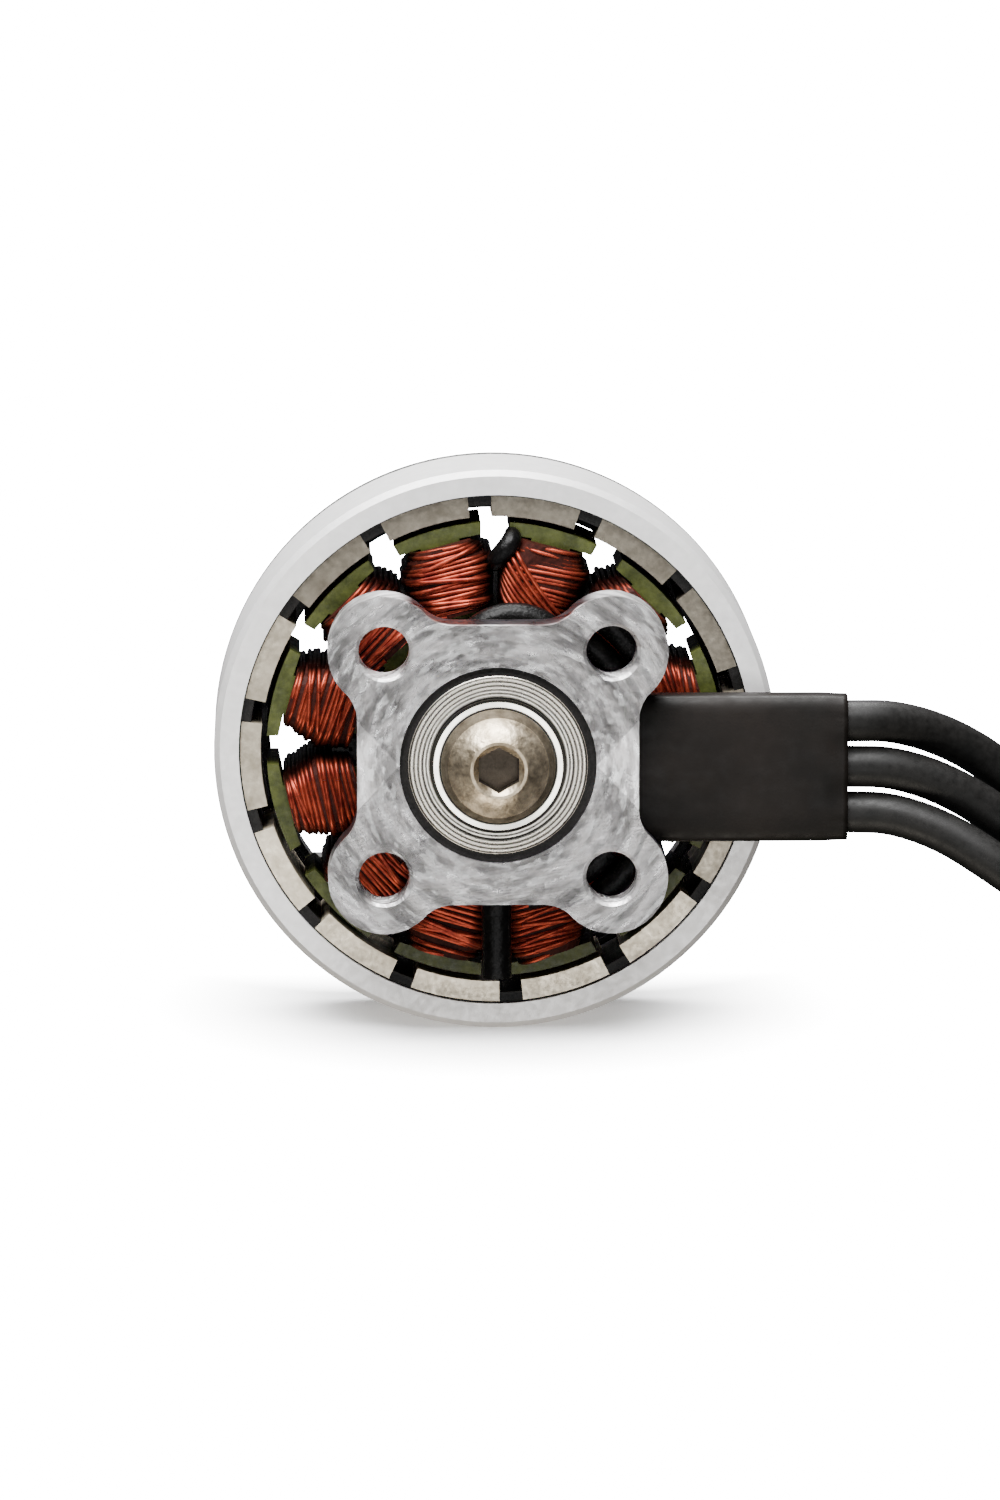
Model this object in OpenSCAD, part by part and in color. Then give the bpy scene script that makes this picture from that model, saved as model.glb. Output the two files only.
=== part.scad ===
// Brushless outrunner motor for a drone: twelve wound teeth inside a bell of fourteen magnets.
// Millimetres. The shaft is the Z axis, the origin is the centre of the mounting face,
// and the propeller end points up. The three leads leave along +X.

/* [Mounting base] */
// Thickness of the four-lobed mounting plate
plate_t = 2.6; // [2.3:0.1:3.4]
// Distance from the axis to the flat waist on each side of the plate
waist_r = 7.0; // [6.6:0.1:7.4]
// Radius of the concave blend between a waist and a lobe
waist_fillet = 2.0; // [1.4:0.1:2.4]
// Radius of each lobe round its screw hole
lobe_r = 2.8; // [2.6:0.1:3.1]
// Diameter of the circle that the four screw holes lie on
bolt_pcd = 16; // [15:0.5:17]
// Diameter of a screw hole at the crests of its M3 thread
bolt_hole_d = 2.6; // [2.4:0.1:2.7]
// Diameter of the countersink at the mouth of a screw hole
bolt_mouth_d = 2.9; // [2.75:0.05:3.3]
// Depth of the recess that the leads leave by, on the plate's stator side
channel_depth = 1.1; // [0.9:0.1:1.6]
// Wall of the bearing tube outside the bearings
tube_wall = 0.75; // [0.6:0.05:0.9]
// Width of the groove round the lower bearing, in the mounting face
seat_groove_w = 0.4; // [0.2:0.05:0.5]
// Depth of that groove
seat_groove_depth = 0.7; // [0.4:0.1:1.0]
// How far the lower bearing sits inside the mounting face
bearing_recess = 0.1; // [0.05:0.05:0.4]

/* [Bearings] */
// Outer diameter of each ball bearing
bearing_od = 9; // [8.8:0.1:9.4]
// Width of each ball bearing
bearing_w = 4; // [3.6:0.1:4.2]
// Diameter of a ball
ball_d = 1.5; // [1.3:0.05:1.6]
// Number of balls in a bearing
ball_count = 7; // [6:1:8]
// Thickness of a bearing shield
shield_t = 0.15; // [0.1:0.05:0.25]
// How far a shield lies inside the bearing's face
shield_recess = 0.25; // [0.15:0.05:0.3]

/* [Shaft] */
// Diameter of the shaft in the bearings
shaft_d = 4; // [3.8:0.1:4.2]
// Diameter of the propeller shaft
prop_shaft_d = 5; // [4.8:0.1:5.4]
// Free length of the propeller shaft above its seat
prop_shaft_l = 13; // [10:0.5:18]
// Diameter of the tapped bore in the shaft's lower end
tap_d = 2.5; // [2.45:0.05:2.8]
// Depth of the tapped bore
tap_depth = 9; // [7.5:0.5:11]

/* [Retaining screw] */
// Diameter of the domed screw head
head_d = 5.7; // [5.3:0.1:6.2]
// Height of the domed screw head
head_h = 1.65; // [1.5:0.05:2.2]
// Diameter of the screw's shank over its thread
shank_d = 2.4; // [2.1:0.05:2.4]
// Length of the screw under its head
shank_l = 6; // [5:0.5:7]
// Hexagon socket across its flats
socket_af = 2; // [1.8:0.1:2.3]
// Depth of the hexagon socket
socket_depth = 1.2; // [0.9:0.1:1.4]
// Outer diameter of the washer under the screw head
washer_d = 6.7; // [6.3:0.1:7.0]
// Thickness of the washer
washer_t = 0.3; // [0.2:0.05:0.5]
// Diameter of the washer's hole
washer_hole_d = 3.2; // [2.9:0.1:3.4]

/* [Stator] */
// Diameter across the teeth
stator_d = 23; // [22.6:0.1:23.6]
// Height of the lamination stack
stack_h = 6; // [5:0.5:8]
// Number of teeth
slots = 12; // [12:3:12]
// Outer diameter of the yoke that joins the teeth
yoke_d = 13.8; // [13.2:0.1:14.2]
// Width of a tooth's neck
neck_w = 2; // [1.6:0.1:2.2]
// Opening between neighbouring tooth tips
slot_open = 1.46; // [1.2:0.02:1.8]
// Thickness of a tooth's shoe at the neck
shoe_t = 0.72; // [0.66:0.02:0.9]
// Thickness of a tooth's shoe at its tips
tip_t = 0.6; // [0.5:0.02:0.64]

/* [Windings] */
// How far the windings stand beyond each end of the stack
coil_end = 1.5; // [1.3:0.1:2.0]
// Gap between neighbouring windings in a slot
coil_gap = 0.12; // [0.08:0.02:0.4]
// Half the width of a winding at its outer end, by the shoe
coil_tip_half = 1.75; // [1.6:0.05:2.0]
// Radius at which a winding begins, near the yoke
coil_r0 = 7.1; // [7.1:0.05:7.4]
// Diameter of the outer turns
turn_d = 0.28; // [0.2:0.02:0.28]
// Number of outer turns on a tooth
turns = 4; // [3:1:4]

/* [Bell] */
// Air gap between the teeth and the magnets
air_gap = 0.3; // [0.15:0.05:0.5]
// Radial thickness of a magnet
magnet_t = 1.02; // [0.7:0.01:1.2]
// Number of magnets
magnets = 14; // [14:2:14]
// Gap between neighbouring magnets, along the ring
magnet_gap = 1.1; // [0.8:0.1:1.4]
// How far the magnets sit inside the rim of the bell
magnet_recess = 0.3; // [0.1:0.1:0.6]
// Thickness of the adhesive behind the magnets
glue_t = 0.08; // [0.04:0.01:0.15]
// Radial thickness of the steel flux ring
ring_t = 1.25; // [0.9:0.05:1.4]
// Chamfer on the flux ring's outer rim
rim_chamfer = 0.3; // [0.1:0.05:0.4]
// Height of the cap's outer wall above the flux ring
cap_wall_h = 0.8; // [0.5:0.1:1.2]
// Thickness of the cap's spokes
cap_t = 1.8; // [1.5:0.1:2.4]
// Number of spokes
spokes = 6; // [5:1:7]
// Width of a spoke at its middle
spoke_w = 1.7; // [1.4:0.1:2.2]
// Diameter of the raised propeller seat
seat_d = 10; // [9.4:0.2:10.8]
// Height of the propeller seat above the spokes
seat_h = 1.0; // [0.6:0.1:1.6]

/* [Leads] */
// Diameter of a lead over its insulation
lead_d = 2.1; // [1.9:0.05:2.1]
// Spacing of the three leads inside their flat sleeve
lead_pitch = 2.3; // [2.3:0.02:2.4]
// Wall of the flat heat-shrink sleeve
sleeve_wall = 0.2; // [0.15:0.05:0.35]
// Width of the flat heat-shrink sleeve
sleeve_w = 7.4; // [7.4:0.1:7.8]
// Distance from the axis at which the sleeve begins
sleeve_x0 = 6.9; // [6.7:0.1:7.0]
// Length of the sleeve
sleeve_l = 10.6; // [9:0.2:12]
// How far the sleeve's middle lies to the side of the axis
sleeve_y = 0.5; // [0:0.05:0.5]
// Diameter of the sleeved phase leads between the plate and the windings
tail_d = 1.4; // [1.1:0.1:1.5]
// Length of the tinned tip on each lead
tip_l = 4; // [3:0.5:6]
// Diameter of the tinned strands
tip_d = 1.3; // [1.0:0.1:1.6]
// Width of the tie round the coiled leads
tie_w = 2.5; // [1.5:0.5:4]
// Thickness of the tie
tie_t = 0.5; // [0.3:0.1:0.5]

/* [Hidden] */
$fn = 96;

// Clearances between pieces
fit = 0.02;
seat_gap = 0.05;
running_gap = 0.1;
lead_slack = 0.05;
coil_sleeve_gap = 0.15;
rim_gap = 1.25;
ceiling_gap = 0.5;
hub_gap = 0.3;
cut = 1;

// Heights, from the mounting face up
channel_z = plate_t - channel_depth;
sleeve_t = lead_d + 2 * lead_slack + 2 * sleeve_wall;
sleeve_z0 = channel_z + seat_gap;
lead_z = sleeve_z0 + sleeve_t / 2;
sleeve_z1 = sleeve_z0 + sleeve_t;
coil_z0 = sleeve_z1 + coil_sleeve_gap;
rim_z = sleeve_z1 + rim_gap;
stack_z0 = coil_z0 + coil_end;
stack_z1 = stack_z0 + stack_h;
stack_mid = (stack_z0 + stack_z1) / 2;
coil_z1 = stack_z1 + coil_end;
ceiling_z = coil_z1 + ceiling_gap;
tube_z1 = ceiling_z - hub_gap;
upper_bearing_z = tube_z1 - bearing_w;
cap_z0 = ceiling_z - cap_wall_h;
cap_z1 = ceiling_z + cap_t;
prop_seat_z = cap_z1 + seat_h;
shaft_z1 = prop_seat_z + prop_shaft_l;
washer_z0 = bearing_recess - washer_t;
head_z0 = washer_z0 - head_h;

// Radii, from the axis out
shaft_r = shaft_d / 2;
prop_r = prop_shaft_d / 2;
press_step = 0.2;
press_r = prop_r + press_step;
bearing_r = bearing_od / 2;
tube_r = bearing_r + tube_wall;
stator_r = stator_d / 2;
magnet_r0 = stator_r + air_gap;
magnet_r1 = magnet_r0 + magnet_t;
ring_r0 = magnet_r1 + glue_t;
bell_r = ring_r0 + ring_t;

// Bearing insides
ball_r = ball_d / 2;
pitch_r = (bearing_r + shaft_r) / 2;
race_land_share = 0.53;
race_land = ball_r * race_land_share;
race_clear = 0.04;
shield_seat = 0.13;
shield_r = pitch_r + race_land + shield_seat;
edge_break = 0.15;
cage_share = 0.5;

// Base outline
lobe_c = bolt_pcd / 2 / sqrt(2);
waist_half_l = lobe_c - sqrt(pow(lobe_r + waist_fillet - fit, 2) - pow(waist_r + waist_fillet - lobe_c, 2));
tube_shoulder = 0.4;

// Teeth
slot_half = 180 / slots;
neck_half = neck_w / 2;
shoe_x = stator_r - shoe_t;

// Windings: an outer turn's centre line, and the plain core that it lies on
coil_x0 = coil_r0;
coil_x1 = shoe_x - fit - seat_gap;
core_skin = turn_d + fit;
coil_corner = 0.8;
coil_corner_h = 1.3;
coil_taper = 0.62;
coil_side_gap = coil_gap / 2 / cos(slot_half);
coil_knee = (coil_tip_half + coil_taper * coil_x1 + coil_side_gap) / (tan(slot_half) + coil_taper);
turn_sides = 6;
turn_rings = 8;
turn_margin = turn_d / 2 + fit;
turn_pitch = (coil_x1 - coil_x0 - 2 * turn_margin) / turns;

// Magnets
rotor_rest = -3.6;
screw_rest = 30;
magnet_step = 360 / magnets;
magnet_arc = magnet_step - magnet_gap / magnet_r0 * 180 / PI;
magnet_z0 = rim_z + magnet_recess;
spigot_h = 0.6;
spigot_t = 0.8;
magnet_z1 = cap_z0 - spigot_h - running_gap;
glue_rib_share = 0.45;

// Bell cap
spoke_rest = 15;
hub_r = seat_d / 2 + edge_break;
window_r1 = magnet_r0 - air_gap - edge_break;
spoke_flare = 1.2;
collar_t = 0.3;

// Leads
sleeve_end = sleeve_x0 + sleeve_l;
lead_sides = 8;
coil_sides = 6;
tail_shown_share = 0.2;
tail_r = waist_r + tail_shown_share * tail_d;
loop_r = 2.8;
loop_x = 0.85;
loop_shown = 0.75;
loop_angles = [-136, -42];
upper_inner_angles = [-52, -34];
upper_outer_angles = [-60, -33];
lower_inner_angles = [40, 78];
lower_outer_angles = [33, 60];

// Routes of the three leads from inside the sleeve to the coil, measured from the sleeve's mouth.
// Lead 1 is the one nearest -Y. They part in height first and then close up over each other.
lead_1_route = [
    [0.3, -2.3, 0], [5.5, -2.3, 0], [10.6, -2.3, 0], [13, -2.15, 0.5], [15.5, -1.3, 1.6], [18, 0.2, 2.6],
    [21, 2.7, 3.1], [24, 5.7, 3.15], [27, 8.6, 3.15], [30, 11, 3.15], [32, 12.1, 3.15], [34, 12.5, 3.15],
    [36.1, 12.5, 3.15]
];
lead_2_route = [
    [0.3, 0, 0], [5.5, 0, 0], [10.6, 0, 0], [13, 0.15, 0.1], [15.5, 1, 0.4], [18, 2.5, 0.8],
    [21, 4.8, 0.95], [24, 7.3, 0.95], [27, 9.6, 0.95], [30, 11.4, 0.95], [32, 12.2, 0.95], [34, 12.5, 0.95],
    [36.1, 12.5, 0.95]
];
lead_3_route = [
    [0.3, 2.3, 0], [5.5, 2.3, 0], [10.6, 2.3, 0], [13, 2.45, -0.2], [15.5, 3.3, -0.6], [18, 4.8, -1.1],
    [21, 6.9, -1.25], [24, 8.8, -1.25], [27, 10.5, -1.25], [30, 11.7, -1.25], [32, 12.3, -1.25],
    [34, 12.5, -1.25], [36.1, 12.5, -1.25]
];
lead_routes = [lead_1_route, lead_2_route, lead_3_route];

// The coil that the rest of each lead lies in: one flat spiral a lead, stacked in three layers
spiral_r = 13.5;
spiral_pitch = 2.55;
spiral_rings = 24;
spiral_steps = 33;
spiral_turns = spiral_steps / spiral_rings;
spiral_end_turn = 25;
tie_clear = 0.15;
tie_turn_share = 0.25;

function two_digits(i) = i < 10 ? str("0", i) : str(i);
function coil_name(i) = str("coil_", two_digits(i));
function magnet_name(i) = str("magnet_", two_digits(i));

// A tube swept along points: rings square to the path, with one side of each ring facing up
function unit(v) = v / norm(v);
function heading(p, i) = unit(p[min(i + 1, len(p) - 1)] - p[max(i - 1, 0)]);
function ring_at(p, i, r, sides, up) =
    let (t = heading(p, i), n = unit(cross(t, up)), b = cross(n, t))
    [for (k = [0:sides - 1]) p[i] + r * (cos(360 * k / sides) * n + sin(360 * k / sides) * b)];
function tube_faces(rings, m) = concat(
    [for (k = [1:m - 2]) [0, k + 1, k]],
    [for (i = [0:rings - 2], k = [0:m - 1]) each [
        [i * m + k, i * m + (k + 1) % m, (i + 1) * m + k],
        [i * m + (k + 1) % m, (i + 1) * m + (k + 1) % m, (i + 1) * m + k]
    ]],
    [for (k = [1:m - 2]) [(rings - 1) * m, (rings - 1) * m + k, (rings - 1) * m + k + 1]]
);
module tube(path, r, sides, up) {
    points = [for (i = [0:len(path) - 1]) each ring_at(path, i, r, sides, up)];
    polyhedron(points = points, faces = tube_faces(len(path), sides), convexity = 6);
}

// The least distance between points of a path that lie at least skip rings apart, less the tube
function self_gap(p, skip, d) =
    min([for (i = [0:len(p) - 1 - skip], j = [i + skip:len(p) - 1]) norm(p[i] - p[j])]) - d;

module ring(r_in, r_out, z0, z1) {
    translate([0, 0, z0])
        difference() {
            cylinder(r = r_out, h = z1 - z0);
            translate([0, 0, -cut]) cylinder(r = r_in, h = z1 - z0 + 2 * cut);
        }
}

// Four-lobed plate with the tube that carries both bearings and the stator
module waist_blend() {
    fillet_c = waist_r + waist_fillet;
    difference() {
        polygon([[lobe_c, waist_half_l], [fillet_c, waist_half_l], [lobe_c, lobe_c]]);
        translate([fillet_c, waist_half_l]) circle(r = waist_fillet);
    }
}

module plate_outline() {
    square(2 * waist_r, center = true);
    for (a = [0:90:270]) rotate(a) {
        translate([lobe_c, lobe_c]) circle(r = lobe_r);
        waist_blend();
        mirror([1, -1]) waist_blend();
    }
}

module screw_hole() {
    translate([0, 0, -cut]) cylinder(d = bolt_hole_d, h = plate_t + 2 * cut);
    sink = (bolt_mouth_d - bolt_hole_d) / 2;
    translate([0, 0, -sink]) cylinder(d1 = bolt_mouth_d + 2 * sink, d2 = bolt_hole_d, h = 2 * sink);
}

module bearing_seats() {
    translate([0, 0, -cut]) cylinder(r = bearing_r + fit / 2, h = bearing_recess + bearing_w + cut);
    translate([0, 0, -cut]) cylinder(r = bearing_r + seat_groove_w, h = seat_groove_depth + cut);
    cylinder(r = bearing_r - tube_shoulder, h = tube_z1 + cut);
    translate([0, 0, upper_bearing_z]) cylinder(r = bearing_r + fit / 2, h = bearing_w + cut);
}

module lead_recess() {
    x0 = sleeve_x0 - channel_depth / 2;
    y0 = sleeve_y - sleeve_w / 2 - running_gap;
    translate([x0, y0, channel_z]) cube([lobe_c + lobe_r, sleeve_w + 2 * running_gap, channel_depth + cut]);
}

module base_mount() {
    color([0.72, 0.73, 0.75])
        difference() {
            union() {
                linear_extrude(plate_t) plate_outline();
                cylinder(r = tube_r, h = tube_z1);
            }
            bearing_seats();
            for (a = [45:90:315]) rotate(a) translate([bolt_pcd / 2, 0]) screw_hole();
            lead_recess();
        }
}

// Laminated stator with twelve teeth
function slot_side(r) = [
    r * cos(slot_half) + slot_open / 2 * sin(slot_half),
    r * sin(slot_half) - slot_open / 2 * cos(slot_half)
];

module tooth() {
    translate([tube_r, -neck_half]) square([shoe_x - tube_r + fit, neck_w]);
    tip = slot_side(stator_r - tip_t);
    far = slot_side(stator_r + tip_t);
    intersection() {
        circle(r = stator_r);
        polygon([
            [shoe_x, -neck_half], [tip[0], -tip[1]], [far[0], -far[1]],
            [far[0], far[1]], [tip[0], tip[1]], [shoe_x, neck_half]
        ]);
    }
}

module stator_core() {
    color([0.36, 0.42, 0.22])
        translate([0, 0, stack_z0])
            linear_extrude(stack_h)
                difference() {
                    union() {
                        circle(d = yoke_d);
                        for (i = [0:slots - 1]) rotate((i + 0.5) * 2 * slot_half) tooth();
                    }
                    circle(r = tube_r + fit);
                }
}

// One winding: a plain copper core round the tooth's neck, and the outer turns wound over it
function coil_half(x) = min(
    x * tan(slot_half) - coil_side_gap,
    coil_tip_half + (coil_x1 - x) * coil_taper
);
function turn_point(s) =
    let (
        k = floor(s * turn_rings + 0.5) % turn_rings,
        x = coil_x0 + turn_margin + turn_pitch * s,
        y = coil_half(x) - turn_d / 2,
        z = stack_h / 2 + coil_end - turn_d / 2,
        yc = y - coil_corner,
        zc = z - coil_corner_h
    )
    [x, [y, yc, -yc, -y, -y, -yc, yc, y][k], [zc, z, z, zc, -zc, -z, -z, -zc][k]];
turn_path = [for (i = [0:turns * turn_rings]) turn_point(i / turn_rings)];
winding_gap = self_gap(turn_path, turn_rings / 2 + 1, turn_d);
echo(least_gap_between_turns_of_a_winding = winding_gap);

module core_slice(x) {
    y = coil_half(x) - core_skin;
    z = stack_h / 2 + coil_end - core_skin;
    yc = y - coil_corner;
    zc = z - coil_corner_h;
    translate([x, 0, 0])
        rotate([90, 0, 90])
            linear_extrude(fit)
                polygon([[y, -zc], [y, zc], [yc, z], [-yc, z], [-y, zc], [-y, -zc], [-yc, -z], [yc, -z]]);
}

module coil(i) {
    color([0.72, 0.24, 0.10])
        translate([0, 0, stack_mid])
            rotate((i - 0.5) * 2 * slot_half) {
                difference() {
                    hull() {
                        core_slice(coil_x0);
                        core_slice(min(coil_knee, coil_x1 - 2 * fit));
                        core_slice(coil_x1 - fit);
                    }
                    translate([0, -neck_half - fit, -stack_h / 2 - fit])
                        cube([stator_r, neck_w + 2 * fit, stack_h + 2 * fit]);
                }
                tube(turn_path, turn_d / 2, turn_sides, [1, 0, 0]);
            }
}

// Arc magnets, the adhesive behind and between them, and the steel ring that closes their flux
module arc_block(r0, r1, z0, z1, angle) {
    rotate(-angle / 2)
        rotate_extrude(angle = angle)
            translate([r0, z0]) square([r1 - r0, z1 - z0]);
}

module magnet(i) {
    color([0.70, 0.66, 0.60])
        rotate(rotor_rest + (i - 1) * magnet_step)
            arc_block(magnet_r0, magnet_r1, magnet_z0, magnet_z1, magnet_arc);
}

module magnet_adhesive() {
    rib_r0 = magnet_r1 - glue_rib_share * magnet_t;
    rib_arc = magnet_step - magnet_arc - fit;
    color([0.10, 0.09, 0.09]) {
        ring(magnet_r1 + fit / 2, ring_r0 - fit / 2, magnet_z0, magnet_z1);
        for (i = [0:magnets - 1]) rotate(rotor_rest + (i + 0.5) * magnet_step)
            arc_block(rib_r0, ring_r0 - fit, magnet_z0 + fit, magnet_z1 - fit, rib_arc);
    }
}

module flux_ring() {
    color([0.80, 0.80, 0.80])
        rotate_extrude()
            polygon([
                [ring_r0, rim_z], [bell_r - rim_chamfer, rim_z], [bell_r, rim_z + rim_chamfer],
                [bell_r, cap_z0], [ring_r0, cap_z0]
            ]);
}

// Bell cap: a rounded shoulder, open spokes and the hub that the shaft is pressed into
module cap_shoulder() {
    round_r = cap_t;
    rotate_extrude() {
        translate([window_r1, ceiling_z]) square([bell_r - round_r - window_r1, cap_t]);
        intersection() {
            translate([bell_r - round_r, ceiling_z]) circle(r = round_r);
            translate([window_r1, ceiling_z]) square([bell_r, cap_t]);
        }
        translate([magnet_r0, cap_z0]) square([bell_r - magnet_r0, cap_wall_h]);
        translate([ring_r0 - fit - spigot_t, cap_z0 - spigot_h]) square([spigot_t, spigot_h + fit]);
    }
}

module spoke() {
    w = spoke_w / 2;
    x0 = hub_r - edge_break;
    x1 = window_r1 + edge_break;
    polygon([
        [x0, -w - spoke_flare], [x0 + spoke_flare, -w], [x1 - spoke_flare, -w], [x1, -w - spoke_flare],
        [x1, w + spoke_flare], [x1 - spoke_flare, w], [x0 + spoke_flare, w], [x0, w + spoke_flare]
    ]);
}

module bell_cap() {
    color([0.78, 0.78, 0.79])
        difference() {
            union() {
                cap_shoulder();
                translate([0, 0, ceiling_z])
                    linear_extrude(cap_t)
                        for (i = [0:spokes - 1]) rotate(spoke_rest + i * 360 / spokes) spoke();
                translate([0, 0, ceiling_z]) cylinder(r = hub_r, h = cap_t);
                translate([0, 0, cap_z1]) cylinder(d = seat_d, h = seat_h);
                translate([0, 0, tube_z1]) cylinder(r = press_r + collar_t, h = hub_gap);
            }
            translate([0, 0, tube_z1 - cut]) cylinder(r = press_r + fit / 2, h = shaft_z1);
        }
}

// Stepped steel shaft: the lower end runs in the bearings, the upper one takes the propeller
module shaft() {
    color([0.62, 0.62, 0.63])
        difference() {
            rotate_extrude()
                polygon([
                    [0, bearing_recess + running_gap], [shaft_r - edge_break, bearing_recess + running_gap],
                    [shaft_r, bearing_recess + running_gap + edge_break], [shaft_r, tube_z1],
                    [press_r, tube_z1], [press_r, prop_seat_z], [prop_r, prop_seat_z],
                    [prop_r, shaft_z1 - 2 * edge_break],
                    [prop_r - 2 * edge_break, shaft_z1], [0, shaft_z1]
                ]);
            translate([0, 0, -cut]) cylinder(d = tap_d, h = tap_depth + cut);
        }
}

// Domed screw and washer that hold the shaft down on the lower bearing
module retaining_screw() {
    rim_h = edge_break;
    mouth_r = head_d / 4;
    head_r = head_d / 2;
    dome_c = (pow(head_r, 2) + pow(rim_h, 2) - pow(mouth_r, 2) - pow(head_h, 2)) / (2 * (rim_h - head_h));
    dome_r = sqrt(mouth_r * mouth_r + pow(head_h - dome_c, 2));
    color([0.60, 0.58, 0.54])
        rotate(screw_rest) difference() {
            union() {
                intersection() {
                    translate([0, 0, head_z0]) cylinder(d = head_d, h = head_h);
                    translate([0, 0, washer_z0 - dome_c]) sphere(r = dome_r);
                }
                translate([0, 0, washer_z0 - fit]) cylinder(d = shank_d, h = shank_l);
            }
            translate([0, 0, head_z0 - cut])
                cylinder(d = socket_af / cos(30), h = socket_depth + cut, $fn = 6);
            translate([0, 0, head_z0 - edge_break])
                cylinder(r1 = mouth_r, r2 = socket_af / 2, h = mouth_r - socket_af / 2);
        }
}

module retaining_washer() {
    color([0.82, 0.81, 0.78]) ring(washer_hole_d / 2, washer_d / 2, washer_z0, bearing_recess);
}

// Ball bearings
module race_groove(z0) {
    translate([0, 0, z0 + bearing_w / 2])
        rotate_extrude() translate([pitch_r, 0]) circle(r = ball_r + race_clear);
}

module bearing_outer_ring(z0) {
    shield_depth = shield_recess + shield_t;
    color([0.75, 0.74, 0.70])
        difference() {
            translate([0, 0, z0])
                rotate_extrude()
                    polygon([
                        [shield_r, 0], [bearing_r - edge_break, 0], [bearing_r, edge_break],
                        [bearing_r, bearing_w - edge_break], [bearing_r - edge_break, bearing_w],
                        [shield_r, bearing_w], [shield_r, bearing_w - shield_depth],
                        [pitch_r + race_land, bearing_w - shield_depth], [pitch_r + race_land, shield_depth],
                        [shield_r, shield_depth]
                    ]);
            race_groove(z0);
        }
}

module bearing_inner_ring(z0) {
    r1 = pitch_r - race_land;
    color([0.75, 0.74, 0.70])
        difference() {
            translate([0, 0, z0])
                rotate_extrude()
                    polygon([
                        [shaft_r + fit / 2, 0], [r1 - edge_break, 0], [r1, edge_break],
                        [r1, bearing_w - edge_break], [r1 - edge_break, bearing_w],
                        [shaft_r + fit / 2, bearing_w]
                    ]);
            race_groove(z0);
        }
}

module bearing_shields(z0) {
    r0 = pitch_r - race_land + running_gap;
    color([0.55, 0.55, 0.54]) {
        ring(r0, shield_r - fit, z0 + shield_recess, z0 + shield_recess + shield_t - fit);
        translate([0, 0, bearing_w - 2 * shield_recess - shield_t + fit])
            ring(r0, shield_r - fit, z0 + shield_recess, z0 + shield_recess + shield_t - fit);
    }
}

module each_ball(z0) {
    for (i = [0:ball_count - 1])
        rotate(i * 360 / ball_count) translate([pitch_r, 0, z0 + bearing_w / 2]) children();
}

module bearing_cage(z0) {
    half_t = cage_share * race_land;
    half_h = cage_share * ball_d;
    mid = z0 + bearing_w / 2;
    color([0.80, 0.62, 0.30])
        difference() {
            ring(pitch_r - half_t, pitch_r + half_t, mid - half_h, mid + half_h);
            each_ball(z0) sphere(r = ball_r + running_gap);
        }
}

module bearing_balls(z0) {
    color([0.85, 0.85, 0.85]) each_ball(z0) sphere(r = ball_r);
}

// Flat heat-shrink sleeve over the three leads where they leave the motor
module flat_section(w, t) {
    square([w - t, t], center = true);
    for (s = [-1, 1]) translate([s * (w - t) / 2, 0]) circle(d = t);
}

module lead_sleeve() {
    color([0.17, 0.14, 0.13])
        translate([sleeve_x0, sleeve_y, lead_z])
            rotate([90, 0, 90])
                linear_extrude(sleeve_l)
                    difference() {
                        flat_section(sleeve_w, sleeve_t);
                        flat_section(sleeve_w - 2 * sleeve_wall, sleeve_t - 2 * sleeve_wall);
                    }
}

// Sleeved phase leads between the plate and the windings, lying round the bearing tube
module tail_arc(r, angles) {
    rotate(angles[0]) rotate_extrude(angle = angles[1] - angles[0])
        translate([r, plate_t + seat_gap + tail_d / 2]) circle(d = tail_d, $fn = 48);
}

module phase_lead_upper() {
    color([0.10, 0.09, 0.09]) {
        translate([loop_x, loop_r + tail_d / 2 - waist_r - loop_shown]) tail_arc(loop_r, loop_angles);
        tail_arc(tail_r, upper_inner_angles);
        tail_arc(tail_r + tail_d + seat_gap, upper_outer_angles);
    }
}

module phase_lead_lower() {
    color([0.10, 0.09, 0.09]) {
        tail_arc(tail_r, lower_inner_angles);
        tail_arc(tail_r + tail_d + seat_gap, lower_outer_angles);
    }
}

// Shrink sleeve over the star point, lying along the slot opposite the upper phase lead
module star_point_sleeve() {
    w = tail_d + running_gap;
    l = stator_r - waist_r - air_gap + running_gap;
    color([0.09, 0.08, 0.08])
        translate([0, waist_r - running_gap, plate_t + seat_gap + tail_d / 2])
            rotate([-90, 0, 0])
                linear_extrude(l) flat_section(w, tail_d - running_gap);
}

// The leads: a run out of the sleeve, then a flat spiral in the coil
function route_end(i) = lead_routes[i - 1][len(lead_routes[i - 1]) - 1];
function spiral_point(s) =
    let (a = 90 - 360 * s, r = spiral_r - spiral_pitch * s)
    [lead_d + r * cos(a), r * sin(a) - spiral_r, 0];
spiral_last = spiral_point(spiral_turns);
spiral_out = -360 * spiral_turns - spiral_end_turn;
end_dir = [cos(spiral_out), sin(spiral_out), 0];
spiral_path = concat(
    [[seat_gap, 0, 0]],
    [for (i = [0:spiral_steps]) spiral_point(i / spiral_rings)],
    [spiral_last + lead_d * end_dir]
);
function path_length(p, i = 1) = i == len(p) ? 0 : norm(p[i] - p[i - 1]) + path_length(p, i + 1);
echo(least_gap_between_turns_of_a_lead = self_gap(spiral_path, spiral_rings / 2, lead_d));
echo(lead_lengths = [for (r = lead_routes) path_length(r) + path_length(spiral_path) + tip_l]);

module at_sleeve() {
    translate([sleeve_x0, sleeve_y, lead_z]) children();
}

module lead_run(i) {
    color([0.07, 0.07, 0.07]) at_sleeve() tube(lead_routes[i - 1], lead_d / 2, lead_sides, [0, 0, 1]);
}

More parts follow.
